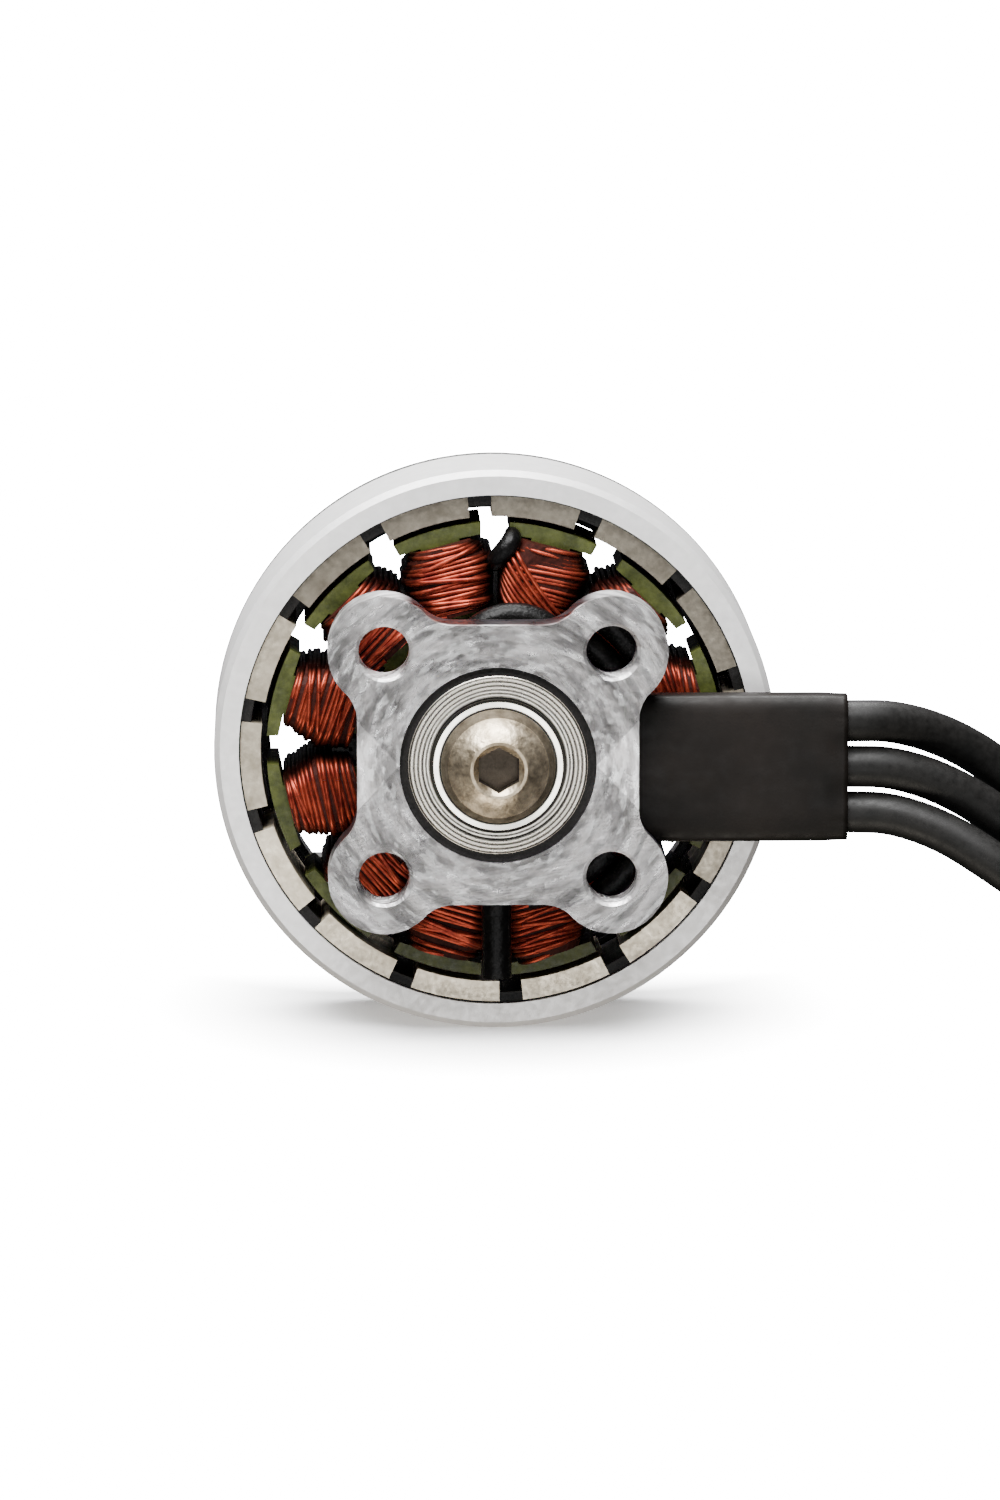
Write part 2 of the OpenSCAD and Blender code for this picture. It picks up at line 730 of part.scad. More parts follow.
module lead_coil(i) {
    color([0.07, 0.07, 0.07])
        at_sleeve() translate(route_end(i)) tube(spiral_path, lead_d / 2, coil_sides, [0, 0, 1]);
}

module lead_tips() {
    color([0.80, 0.80, 0.78])
        at_sleeve()
            for (i = [1:3]) translate(route_end(i) + spiral_last + lead_d * end_dir)
                rotate([0, 90, spiral_out]) cylinder(d = tip_d, h = tip_l, $fn = 32);
}

// Tie round the two turns and three layers of the coil, on the side away from the motor
module coil_tie() {
    low = route_end(3)[2] - lead_d / 2 - seat_gap;
    high = route_end(1)[2] + lead_d / 2 + tie_clear;
    r1 = spiral_r - spiral_pitch * tie_turn_share + lead_d / 2 + tie_clear;
    r0 = spiral_r - spiral_pitch * (1 + tie_turn_share) - lead_d / 2 - 2 * tie_clear;
    center = route_end(2) + [lead_d, -spiral_r, -route_end(2)[2]];
    color([0.12, 0.12, 0.13])
        at_sleeve() translate(center)
            difference() {
                translate([r0 - tie_t, -tie_w / 2, low - tie_t])
                    cube([r1 - r0 + 2 * tie_t, tie_w, high - low + 2 * tie_t]);
                translate([r0, -tie_w, low]) cube([r1 - r0, 2 * tie_w, high - low]);
            }
}

base_mount();
stator_core();
for (i = [1:slots]) coil(i);
for (i = [1:magnets]) magnet(i);
magnet_adhesive();
flux_ring();
bell_cap();
shaft();
retaining_screw();
retaining_washer();
bearing_outer_ring(bearing_recess);  // lower_bearing_outer_ring
bearing_inner_ring(bearing_recess);  // lower_bearing_inner_ring
bearing_shields(bearing_recess);  // lower_bearing_shields
bearing_cage(bearing_recess);  // lower_bearing_cage
bearing_balls(bearing_recess);  // lower_bearing_balls
bearing_outer_ring(upper_bearing_z);  // upper_bearing_outer_ring
bearing_inner_ring(upper_bearing_z);  // upper_bearing_inner_ring
bearing_shields(upper_bearing_z);  // upper_bearing_shields
bearing_cage(upper_bearing_z);  // upper_bearing_cage
bearing_balls(upper_bearing_z);  // upper_bearing_balls
lead_sleeve();
phase_lead_upper();
phase_lead_lower();
star_point_sleeve();
lead_run(1);  // lead_1_run
lead_run(2);  // lead_2_run
lead_run(3);  // lead_3_run
lead_coil(1);  // lead_1_coil
lead_coil(2);  // lead_2_coil
lead_coil(3);  // lead_3_coil
lead_tips();
coil_tie();
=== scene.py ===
import math
import random
import bpy
from mathutils import Matrix, Vector


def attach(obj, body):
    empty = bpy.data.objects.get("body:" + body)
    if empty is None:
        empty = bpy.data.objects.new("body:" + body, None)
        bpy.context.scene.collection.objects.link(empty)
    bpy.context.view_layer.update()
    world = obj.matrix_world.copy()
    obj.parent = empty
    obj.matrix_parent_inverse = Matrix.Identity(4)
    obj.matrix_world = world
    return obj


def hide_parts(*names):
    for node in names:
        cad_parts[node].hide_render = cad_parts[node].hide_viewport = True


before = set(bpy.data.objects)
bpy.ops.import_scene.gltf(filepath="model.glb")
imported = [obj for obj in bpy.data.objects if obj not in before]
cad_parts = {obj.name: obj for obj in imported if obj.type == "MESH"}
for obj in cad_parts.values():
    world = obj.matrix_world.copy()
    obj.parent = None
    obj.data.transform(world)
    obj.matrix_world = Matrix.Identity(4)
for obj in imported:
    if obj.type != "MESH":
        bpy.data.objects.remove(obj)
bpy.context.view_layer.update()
MM = 0.001

# Motor sizes in millimetres, as part.scad has them
TEETH = 12
COIL_Z = (4.3, 13.3)
COIL_MID_Z = (COIL_Z[0] + COIL_Z[1]) / 2
COIL_HALF_H = (COIL_Z[1] - COIL_Z[0]) / 2
COIL_R = (7.1, 10.71)
COIL_GAP = 0.12
COIL_TIP_HALF = 1.75
COIL_TAPER = 0.62
PLATE_T = 2.6
WAIST_R = 7.0
HOLE_R = 1.3
HOLE_PCD_R = 8.0
GROOVE_R = (4.37, 4.5, 4.9)
GROOVE_Z = (0.2, 0.28, 0.7)
BELL_R = 14.15
CEILING_Z = 13.8
MAGNETS = 14
ROTOR_REST = -3.6
SHAFT_R = 2.0
PRESS_R = 2.7
PROP_R = 2.5
SHAFT_Z = (0.2, 13.5, 16.6, 29.6)
TAP_R = 1.25
TAP_DEPTH = 9.0
HEAD_R = 2.86
SOCKET_R = 1.3

# Where painted shade lies on them. In a pair, the first is where it starts and the second is where it is
# full.
SHADE_FROM_MID = (COIL_HALF_H - 0.1, COIL_HALF_H - 0.9)
WALL_FAR = (WAIST_R - 0.5, WAIST_R - 0.4)
WALL_NEAR = (WAIST_R - 2.0, WAIST_R - 2.8)
WALL_Z = (0.3, 0.6)
UNDERSIDE_Z = (CEILING_Z + 0.05, CEILING_Z)
UNDERSIDE_R = (BELL_R - 0.5, BELL_R - 0.7)
SOCKET_SHADE_R = (SOCKET_R + 0.01, SOCKET_R)
SOCKET_SHADE_Z = (-1.7, -1.2)
RING_EDGE = 0.03
HEAD_RIM_R = 2.52
WASHER_LINE_R = 3.23
SHIELD_LINE_R = 3.3

# Leads: where their routes start, and the spiral that the rest lies in
SLEEVE_X = 6.9
SLEEVE_Y = 0.5
SLEEVE_L = 10.6
SLEEVE_W = 7.4
SLEEVE_T = 2.6
LEAD_Z = 2.85
LEAD_D = 2.1
LEAD_PITCH = 2.3
SPIRAL_R = 13.5
SPIRAL_PITCH = 2.55
SPIRAL_RINGS = 24
SPIRAL_STEPS = 33
SPIRAL_END_TURN = 25
LEAD_PATH_STEPS = 4
LEAD_ROUTES = [
    [
        (0.3, -2.3, 0), (5.5, -2.3, 0), (10.6, -2.3, 0), (13, -2.15, 0.5), (15.5, -1.3, 1.6),
        (18, 0.2, 2.6), (21, 2.7, 3.1), (24, 5.7, 3.15), (27, 8.6, 3.15), (30, 11, 3.15),
        (32, 12.1, 3.15), (34, 12.5, 3.15), (36.1, 12.5, 3.15),
    ],
    [
        (0.3, 0, 0), (5.5, 0, 0), (10.6, 0, 0), (13, 0.15, 0.1), (15.5, 1, 0.4),
        (18, 2.5, 0.8), (21, 4.8, 0.95), (24, 7.3, 0.95), (27, 9.6, 0.95), (30, 11.4, 0.95),
        (32, 12.2, 0.95), (34, 12.5, 0.95), (36.1, 12.5, 0.95),
    ],
    [
        (0.3, 2.3, 0), (5.5, 2.3, 0), (10.6, 2.3, 0), (13, 2.45, -0.2), (15.5, 3.3, -0.6),
        (18, 4.8, -1.1), (21, 6.9, -1.25), (24, 8.8, -1.25), (27, 10.5, -1.25), (30, 11.7, -1.25),
        (32, 12.3, -1.25), (34, 12.5, -1.25), (36.1, 12.5, -1.25),
    ],
]

# The photograph: its frame, the scale at the mounting face, and how the view is tilted
IMAGE_H = 1500
IMAGE_W = 1000
PX_PER_MM = 20.15
BASE_PX = (498.2, 765.7)
CAMERA_D = 450.0
TILT_UP = 8.05
TILT_LEFT = 1.4
SENSOR = 36.0

# Bodies that the pieces ride
ROOT = "stator"
ROTOR = "rotor"


def mm(*xyz):
    return Vector(xyz) * MM


# Camera

def make_camera():
    """Camera whose axis leans from the shaft's axis as the photograph's does."""
    view = Vector((math.sin(math.radians(TILT_LEFT)), math.sin(math.radians(TILT_UP)), 0))
    view.z = math.sqrt(1 - view.x ** 2 - view.y ** 2)
    right = view.cross(Vector((0, -1, 0))).normalized()
    up = right.cross(view)
    aim_px = (IMAGE_W / 2 - BASE_PX[0], IMAGE_H / 2 - BASE_PX[1])
    aim = mm(aim_px[0] / PX_PER_MM, aim_px[1] / PX_PER_MM / view.z, 0)
    data = bpy.data.cameras.new("photo_camera")
    data.sensor_width = SENSOR
    data.lens = PX_PER_MM * CAMERA_D * SENSOR / IMAGE_H
    camera = bpy.data.objects.new("photo_camera", data)
    bpy.context.scene.collection.objects.link(camera)
    turn = Matrix((right, up, -view)).transposed().to_4x4()
    camera.matrix_world = Matrix.Translation(aim - view * CAMERA_D * MM) @ turn
    bpy.context.scene.camera = camera


make_camera()


# Node materials: where the middle of a noise lies, and how fast a dished face rises outwards

NOISE_MIDDLE = (0.3, 0.7)
DISH_RISE = 0.1


class Nodes:
    """A new material's node tree, with short calls for sums on its sockets."""

    def __init__(self, name):
        self.material = bpy.data.materials.new(name)
        self.material.use_nodes = True
        self.tree = self.material.node_tree

    def node(self, kind, **settings):
        made = self.tree.nodes.new(kind)
        for key, value in settings.items():
            setattr(made, key, value)
        return made

    def link(self, a, b):
        self.tree.links.new(a, b)

    def feed(self, made, values):
        """Give a node its inputs, each a socket or a fixed value."""
        for value, socket in zip(values, made.inputs):
            if isinstance(value, bpy.types.NodeSocket):
                self.link(value, socket)
            else:
                socket.default_value = value

    def calc(self, operation, *values):
        made = self.node("ShaderNodeMath", operation=operation)
        self.feed(made, values)
        return made.outputs["Value"]

    def vector(self, operation, *values):
        made = self.node("ShaderNodeVectorMath", operation=operation)
        self.feed(made, values)
        return made.outputs["Value" if operation == "LENGTH" else "Vector"]

    def split(self, place):
        made = self.node("ShaderNodeSeparateXYZ")
        self.link(place, made.inputs["Vector"])
        return made.outputs

    def join(self, *values):
        made = self.node("ShaderNodeCombineXYZ")
        self.feed(made, values)
        return made.outputs["Vector"]

    def ramp(self, value, low, high, most=1.0, least=0.0, **settings):
        """Least at the low value and most at the high one."""
        made = self.node("ShaderNodeMapRange", **settings)
        made.inputs["From Min"].default_value = low
        made.inputs["From Max"].default_value = high
        made.inputs["To Min"].default_value = least
        made.inputs["To Max"].default_value = most
        self.link(value, made.inputs["Value"])
        return made.outputs["Result"]

    def span(self, value, low_mm, high_mm, most=1.0, **settings):
        return self.ramp(value, low_mm * MM, high_mm * MM, most, **settings)


class Shader(Nodes):
    """A Principled material whose looks are added one call at a time."""

    def __init__(self, name, base, metallic=0.0, rough=0.5, **sockets):
        super().__init__(name)
        self.base = base
        self.shader = self.tree.nodes["Principled BSDF"]
        self.shader.inputs["Base Color"].default_value = (*base, 1)
        self.shader.inputs["Metallic"].default_value = metallic
        self.shader.inputs["Roughness"].default_value = rough
        for key, value in sockets.items():
            self.shader.inputs[key.replace("_", " ")].default_value = value
        self.coords = self.node("ShaderNodeTexCoord").outputs["Object"]
        self.normal = None

    # Places

    def height(self):
        return self.split(self.coords)["Z"]

    def across(self):
        """The place as seen along the Z axis."""
        place = self.split(self.coords)
        return self.join(place["X"], place["Y"], 0)

    def radius(self):
        """Distance from the Z axis."""
        return self.vector("LENGTH", self.across())

    def dish(self):
        """Relief that grows from the Z axis outwards, by the same share for each millimetre."""
        return self.calc("MULTIPLY", self.radius(), DISH_RISE / MM)

    # Patterns

    def noise_at(self, place, per_mm, detail, rough):
        made = self.node("ShaderNodeTexNoise")
        made.inputs["Scale"].default_value = per_mm / MM
        made.inputs["Detail"].default_value = detail
        made.inputs["Roughness"].default_value = rough
        self.link(place, made.inputs["Vector"])
        return made.outputs["Fac"]

    def noise(self, per_mm, detail=4, rough=0.6, stretch=(1, 1, 1)):
        return self.noise_at(self.vector("MULTIPLY", self.coords, stretch), per_mm, detail, rough)

    def turned(self, per_mm, detail=6, rough=0.65, reach=6.0, fine=2.5):
        """Noise drawn out along circles round the Z axis, finer from the axis outwards."""
        heading = self.vector("NORMALIZE", self.across())
        spread = self.vector("MULTIPLY", heading, (reach * MM, reach * MM, reach * MM))
        lift = self.calc("MULTIPLY_ADD", self.radius(), fine, self.height())
        return self.noise_at(self.vector("ADD", spread, self.join(0, 0, lift)), per_mm, detail, rough)

    def rings(self, per_mm, wobble=0.4):
        """Bright and dark circles round the Z axis."""
        made = self.node("ShaderNodeTexWave", wave_type="RINGS", rings_direction="Z")
        made.inputs["Scale"].default_value = per_mm / MM
        made.inputs["Distortion"].default_value = wobble
        made.inputs["Detail Scale"].default_value = 2.0
        self.link(self.coords, made.inputs["Vector"])
        return made.outputs["Fac"]

    # Base colour, roughness and relief

    def tint(self, factor, dark, light, low=0.35, high=0.65):
        made = self.node("ShaderNodeValToRGB")
        made.color_ramp.elements[0].position = low
        made.color_ramp.elements[1].position = high
        made.color_ramp.elements[0].color = (*dark, 1)
        made.color_ramp.elements[1].color = (*light, 1)
        self.link(factor, made.inputs["Fac"])
        self.link(made.outputs["Color"], self.shader.inputs["Base Color"])
        return self

    def shade(self, factor, spread, low=0.35, high=0.65):
        """The base colour, varied by a spread either way."""
        dark = [c * (1 - spread) for c in self.base]
        light = [min(1, c * (1 + spread)) for c in self.base]
        return self.tint(factor, dark, light, low, high)

    def blend(self, name, kind, amount, other):
        """Mix a fixed value over what one of the shader's inputs has so far."""
        target = self.shader.inputs[name]
        mix = self.node("ShaderNodeMix", data_type=kind)
        mix.inputs["B"].default_value = other
        self.link(amount, mix.inputs["Factor"])
        self.link(target.links[0].from_socket, mix.inputs["A"])
        self.link(mix.outputs["Result"], target)
        return self

    def cover(self, amount, color):
        return self.blend("Base Color", "RGBA", amount, (*color, 1))

    def dull(self, amount, rough=0.75):
        return self.blend("Roughness", "FLOAT", amount, rough)

    def roughness(self, factor, low, high):
        """Roughness that follows the middle range of a noise, from low to high."""
        self.link(self.ramp(factor, *NOISE_MIDDLE, high, low), self.shader.inputs["Roughness"])
        return self

    def bump(self, factor, depth_mm, strength=1.0):
        made = self.node("ShaderNodeBump")
        made.inputs["Strength"].default_value = strength
        made.inputs["Distance"].default_value = depth_mm * MM
        self.link(factor, made.inputs["Height"])
        if self.normal:
            self.link(self.normal, made.inputs["Normal"])
        self.normal = made.outputs["Normal"]
        self.link(self.normal, self.shader.inputs["Normal"])
        return self

    # Painted shade in places

    def darken_inside(self):
        """Painted shade that darkens the wires towards the middle of the stack."""
        far = self.calc("ABSOLUTE", self.calc("SUBTRACT", self.height(), COIL_MID_Z * MM))
        return self.cover(self.span(far, *SHADE_FROM_MID, 0.96), (0.006, 0.0015, 0.001))

    def shade_walls(self):
        """Painted shade on the side walls in the four waists of the plate."""
        apart = self.split(self.vector("ABSOLUTE", self.coords))
        outside = self.span(self.calc("MAXIMUM", apart["X"], apart["Y"]), *WALL_FAR)
        between = self.span(self.calc("MINIMUM", apart["X"], apart["Y"]), *WALL_NEAR)
        behind = self.span(apart["Z"], *WALL_Z)
        amount = self.calc("MULTIPLY", self.calc("MULTIPLY", outside, between), behind)
        return self.cover(amount, (0.05, 0.044, 0.048))

    def shade_inside(self):
        """Painted shade, near-black on the cap's underside."""
        below = self.span(self.height(), *UNDERSIDE_Z)
        within = self.span(self.radius(), *UNDERSIDE_R)
        return self.cover(self.calc("MULTIPLY", below, within), (0.012, 0.012, 0.012))

    def shade_socket(self):
        """Painted shade: dark and dull inside the screw's socket."""
        near = self.span(self.radius(), *SOCKET_SHADE_R)
        deep = self.span(self.height(), *SOCKET_SHADE_Z, 0.95)
        amount = self.calc("MULTIPLY", near, deep)
        return self.cover(amount, (0.06, 0.05, 0.04)).dull(amount, 0.5)

    def shade_ring(self, radius_mm, width_mm, most=0.97):
        """Painted shade: a dark, dull ring round the Z axis, from a radius outwards."""
        radius = self.radius()
        outside = self.span(radius, radius_mm - RING_EDGE, radius_mm)
        inside = self.span(radius, radius_mm + width_mm, radius_mm + width_mm / 2, most)
        amount = self.calc("MULTIPLY", outside, inside)
        return self.cover(amount, (0.008, 0.007, 0.005)).dull(amount)


def machined_aluminium():
    s = Shader("machined_aluminium", (0.60, 0.585, 0.585), metallic=0.88, rough=0.36)
    s.shade(s.turned(0.42, detail=5, rough=0.55), 0.5, 0.4, 0.6)
    bright_flecks = s.ramp(s.turned(1.0, detail=2, rough=0.5), 0.53, 0.59, 0.8)
    s.cover(bright_flecks, (1.0, 1.0, 1.0))
    dark_flecks = s.ramp(s.turned(0.8, detail=3, rough=0.5, reach=5.0), 0.46, 0.36, 0.6)
    s.cover(dark_flecks, (0.16, 0.155, 0.16))
    # Painted shade on the waist walls
    s.shade_walls()
    s.roughness(s.turned(0.8, detail=6), 0.16, 0.6)
    s.bump(s.turned(1.6, detail=5), 0.05, 0.8)
    return s.bump(s.noise(0.45, detail=5), 0.18, 0.9).material


def satin_ring():
    s = Shader("satin_ring", (0.80, 0.79, 0.78), metallic=0.35, rough=0.42)
    s.shade(s.noise(1.4, detail=4), 0.05)
    s.roughness(s.noise(3.0, detail=4, stretch=(1, 1, 4)), 0.34, 0.5)
    return s.bump(s.noise(9.0, detail=3, stretch=(0.15, 0.15, 2)), 0.004, 0.5).material


def anodised_cap():
    s = Shader("anodised_cap", (0.32, 0.32, 0.32), metallic=1.0, rough=0.36)
    s.shade(s.noise(1.2, detail=5), 0.08)
    # Painted shade inside the bell
    s.shade_inside()
    s.roughness(s.noise(4.0), 0.3, 0.45)
    return s.bump(s.rings(3.0, 0.2), 0.004, 0.5).material


def bearing_steel():
    s = Shader("bearing_steel", (0.86, 0.81, 0.71), metallic=0.8, rough=0.28)
    s.tint(s.rings(1.5, 0.05), (0.04, 0.036, 0.03), (0.86, 0.81, 0.71), 0.06, 0.42)
    s.roughness(s.noise(6.0), 0.22, 0.4)
    return s.bump(s.rings(1.5, 0.05), 0.02, 0.8).material


def shield_steel():
    s = Shader("shield_steel", (0.66, 0.63, 0.56), metallic=1.0, rough=0.3)
    s.shade(s.noise(2.0, detail=5), 0.2)
    s.roughness(s.noise(4.0), 0.25, 0.35)
    # Painted shade along the washer's edge
    s.shade_ring(SHIELD_LINE_R, 0.16)
    return s.bump(s.rings(0.9, 0.2), 0.035, 0.8).material


def bright_steel():
    s = Shader("bright_steel", (0.90, 0.87, 0.80), metallic=1.0, rough=0.2)
    return s.shade(s.noise(1.5, detail=5), 0.1).material


def washer_steel():
    s = Shader("washer_steel", (0.97, 0.92, 0.82), metallic=1.0, rough=0.15)
    s.shade(s.noise(1.5, detail=5), 0.08)
    s.roughness(s.noise(2.0, detail=5), 0.1, 0.2)
    # Painted shade round the screw head and along the washer's outer edge
    s.shade_ring(HEAD_R, 0.12)
    s.shade_ring(WASHER_LINE_R, 0.3)
    return s.bump(s.dish(), 0.9).material


def screw_steel():
    s = Shader("screw_steel", (0.5, 0.43, 0.33), metallic=1.0, rough=0.24)
    s.tint(s.noise(1.2, detail=6), (0.32, 0.26, 0.18), (0.72, 0.61, 0.45))
    s.roughness(s.noise(3.0, detail=5), 0.34, 0.54)
    # Painted shade in the socket and round the rim of the head
    s.shade_socket()
    s.shade_ring(HEAD_RIM_R, 0.6, 0.72)
    return s.bump(s.noise(1.6, detail=4, rough=0.5), 0.12, 0.7).material


def ground_steel():
    s = Shader("ground_steel", (0.45, 0.45, 0.45), metallic=1.0, rough=0.3)
    s.shade(s.noise(2.0), 0.08)
    return s.bump(s.noise(8.0, detail=3, stretch=(0.2, 0.2, 1)), 0.004, 0.5).material


def copper_wire():
    s = Shader("copper_wire", (0.42, 0.07, 0.035), metallic=0.75, rough=0.4, Specular_IOR_Level=0.2)
    s.tint(s.noise(1.3, detail=4), (0.15, 0.016, 0.011), (0.44, 0.074, 0.037), 0.3, 0.7)
    # Painted shade on the wires deep in the slots
    s.darken_inside()
    return s.roughness(s.noise(5.0), 0.3, 0.46).material


# Painted shade: the buried turns are dark so that the grooves between strands look shaded
def copper_core():
    s = Shader("copper_core", (0.03, 0.006, 0.004), rough=0.6, Specular_IOR_Level=0.1)
    return s.shade(s.noise(4.0), 0.4).material


def green_coating():
    s = Shader("green_coating", (0.055, 0.06, 0.016), rough=0.4, Specular_IOR_Level=0.2)
    s.tint(s.noise(1.3, detail=5), (0.024, 0.030, 0.006), (0.076, 0.088, 0.020), 0.3, 0.7)
    s.roughness(s.noise(3.0), 0.3, 0.5)
    return s.bump(s.noise(2.5, detail=3), 0.04, 0.6).material


def nickel_magnet(name="nickel_magnet", tone=1.0):
    dark = [c * tone for c in (0.27, 0.235, 0.175)]
    light = [c * tone for c in (0.47, 0.42, 0.33)]
    s = Shader(name, light, metallic=0.6, rough=0.38)
    s.tint(s.noise(0.9, detail=5), dark, light, 0.3, 0.7)
    s.roughness(s.noise(4.0), 0.3, 0.5)
    return s.bump(s.noise(6.0, detail=4), 0.012, 0.6).material


# Painted shade: a darker copy of the magnet material
def shaded_magnet():
    return nickel_magnet("shaded_magnet", 0.42)


# Painted light: a paler copy of the magnet material
def lit_magnet():
    return nickel_magnet("lit_magnet", 1.75)


# Black glue and varnish; also painted shade in the slots and in the bearing's groove
def black_adhesive():
    s = Shader("black_adhesive", (0.006, 0.0054, 0.005), rough=0.5, Specular_IOR_Level=0.25)
    s.shade(s.noise(3.0), 0.4)
    return s.bump(s.noise(2.2), 0.08, 0.8).material


def shrink_sleeve():
    s = Shader("shrink_sleeve", (0.006, 0.005, 0.0043), rough=0.5, Specular_IOR_Level=0.16)
    s.tint(s.noise(0.25, detail=3), (0.004, 0.0031, 0.0026), (0.009, 0.0066, 0.0054), 0.35, 0.65)
    s.roughness(s.noise(1.2), 0.42, 0.6)
    return s.bump(s.noise(1.5, detail=5, stretch=(0.4, 1, 1)), 0.03, 0.35).material


def black_sleeving():
    s = Shader("black_sleeving", (0.0026, 0.0024, 0.0024), rough=0.34, Specular_IOR_Level=0.14)
    s.shade(s.noise(2.0), 0.5)
    return s.bump(s.noise(2.4, detail=4, stretch=(1, 1, 0.5)), 0.09, 0.8).material


def silicone_lead():
    s = Shader("silicone_lead", (0.006, 0.0055, 0.0052), rough=0.52, Specular_IOR_Level=0.25)
    s.shade(s.noise(1.5), 0.3)
    s.roughness(s.noise(3.0), 0.42, 0.6)
    return s.bump(s.noise(5.0), 0.01, 0.4).material


def tinned_copper():
    s = Shader("tinned_copper", (0.70, 0.69, 0.66), metallic=1.0, rough=0.34)
    s.shade(s.noise(3.0), 0.15)
    return s.bump(s.noise(4.0, detail=4), 0.05, 0.6).material


def tie_nylon():
    s = Shader("tie_nylon", (0.010, 0.010, 0.011), rough=0.45, Specular_IOR_Level=0.3)
    s.shade(s.noise(2.0), 0.25)
    return s.bump(s.noise(3.0, stretch=(1, 3, 1)), 0.04, 0.5).material


def cage_brass():
    s = Shader("cage_brass", (0.62, 0.42, 0.16), metallic=1.0, rough=0.35)
    return s.shade(s.noise(3.0), 0.15).material


MATERIALS = {
    make.__name__: make() for make in (
        machined_aluminium, satin_ring, anodised_cap, bearing_steel, shield_steel, bright_steel,
        washer_steel, screw_steel, ground_steel, copper_wire, copper_core, green_coating,
        nickel_magnet, shaded_magnet, lit_magnet, black_adhesive, shrink_sleeve, black_sleeving,
        silicone_lead, tinned_copper, tie_nylon, cage_brass,
    )
}


# CAD nodes that keep their own shape: the material of each, and how far its edges are rounded

SHARP_ANGLE = math.radians(35)
FLAT_ANGLE = math.radians(30)
EDGE_STEPS = 2
SIDE_TONE_FROM = 0.4
DRESS = {
    "base_mount": ("machined_aluminium", 0), "stator_core": ("green_coating", 0.12),
    "magnet_adhesive": ("black_adhesive", 0), "flux_ring": ("satin_ring", 0.05),
    "bell_cap": ("anodised_cap", 0.06), "retaining_screw": ("screw_steel", 0),
    "retaining_washer": ("washer_steel", 0.05), "phase_lead_upper": ("black_sleeving", 0),
    "phase_lead_lower": ("black_sleeving", 0), "star_point_sleeve": ("black_sleeving", 0.2),
    "lead_tips": ("tinned_copper", 0.1), "coil_tie": ("tie_nylon", 0.12),
}
for end in ("lower", "upper"):
    DRESS[end + "_bearing_outer_ring"] = ("bearing_steel", 0.03)
    DRESS[end + "_bearing_inner_ring"] = ("bearing_steel", 0.03)
    DRESS[end + "_bearing_shields"] = ("shield_steel", 0)
    DRESS[end + "_bearing_cage"] = ("cage_brass", 0)
    DRESS[end + "_bearing_balls"] = ("bright_steel", 0)


def magnet_tone(index):
    """Painted shade on the magnets at the top of the view and painted light on those at its foot, as
    darker and paler copies of one material.
    """
    side = math.sin(math.radians(ROTOR_REST + 360 / MAGNETS * index))
    if abs(side) <= SIDE_TONE_FROM:
        return "nickel_magnet"
    return "lit_magnet" if side > 0 else "shaded_magnet"


for i in range(MAGNETS):
    DRESS[f"magnet_{i + 1:02d}"] = (magnet_tone(i), 0.07)


def dress(node, material, edge_mm):
    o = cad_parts[node]
    o.data.materials.clear()
    o.data.materials.append(MATERIALS[material])
    if edge_mm:
        bevel = o.modifiers.new("edge", "BEVEL")
        bevel.width = edge_mm * MM
        bevel.segments = EDGE_STEPS
        bevel.limit_method = "ANGLE"
        bevel.angle_limit = SHARP_ANGLE
        bevel.harden_normals = True


def flatten_faces(node):
    """Flat normals on a node's flat faces, right up to their edges."""
    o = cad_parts[node]
    split_edges = o.modifiers.new("split_edges", "EDGE_SPLIT")
    split_edges.split_angle = FLAT_ANGLE
    o.modifiers.new("flats", "WEIGHTED_NORMAL")


for node, (material, edge) in DRESS.items():
    dress(node, material, edge)
flatten_faces("base_mount")


# Helpers for new pieces

WIRE_STEPS = 2
THICK_WIRE_STEPS = 5


def add(name, data, body, material):
    o = bpy.data.objects.new(name, data)
    bpy.context.scene.collection.objects.link(o)
    data.materials.append(MATERIALS[material])
    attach(o, body)
    return o


def mesh(name, points, faces, smooth=True):
    data = bpy.data.meshes.new(name)
    data.from_pydata([tuple(p) for p in points], [], faces)
    data.validate()
    if smooth:
        data.shade_smooth()
    return data


def grid_faces(rows, cols, closed_rows=False):
    """Quads of a grid of points. Each row closes on itself, and the last may join the first."""
    return [
        (r * cols + c, r * cols + (c + 1) % cols,
         (r + 1) % rows * cols + (c + 1) % cols, (r + 1) % rows * cols + c)
        for r in range(rows if closed_rows else rows - 1) for c in range(cols)
    ]


def wire(name, paths, radius_mm, steps=WIRE_STEPS):
    """A curve of round wires, one spline for each path of points in metres."""
    data = bpy.data.curves.new(name, "CURVE")
    data.dimensions = "3D"
    data.bevel_depth = radius_mm * MM
    data.bevel_resolution = steps
    data.use_fill_caps = True
    for path in paths:
        spline = data.splines.new("POLY")
        spline.points.add(len(path) - 1)
        for point, place in zip(spline.points, path):
            point.co = (*place, 1)
        spline.use_smooth = True
    return data


def smooth_path(points, steps):
    """Catmull-Rom curve through points, with that many steps between each pair."""
    ends = [points[0] * 2 - points[1]] + points + [points[-1] * 2 - points[-2]]
    path = []
    for a, b, c, d in zip(ends, ends[1:], ends[2:], ends[3:]):
        for k in range(steps):
            t = k / steps
            path.append(0.5 * (2 * b + (c - a) * t + (2 * a - 5 * b + 4 * c - d) * t ** 2
                               + (3 * b - a - 3 * c + d) * t ** 3))
    return path + [points[-1]]


# The three leads, each one curve from inside the sleeve to its tinned tip

def spiral_point(turned):
    """Place on the spiral after that many turns, from where the route ends."""
    a = math.radians(90 - 360 * turned)
    r = SPIRAL_R - SPIRAL_PITCH * turned
    return Vector((LEAD_D + r * math.cos(a), r * math.sin(a) - SPIRAL_R, 0))


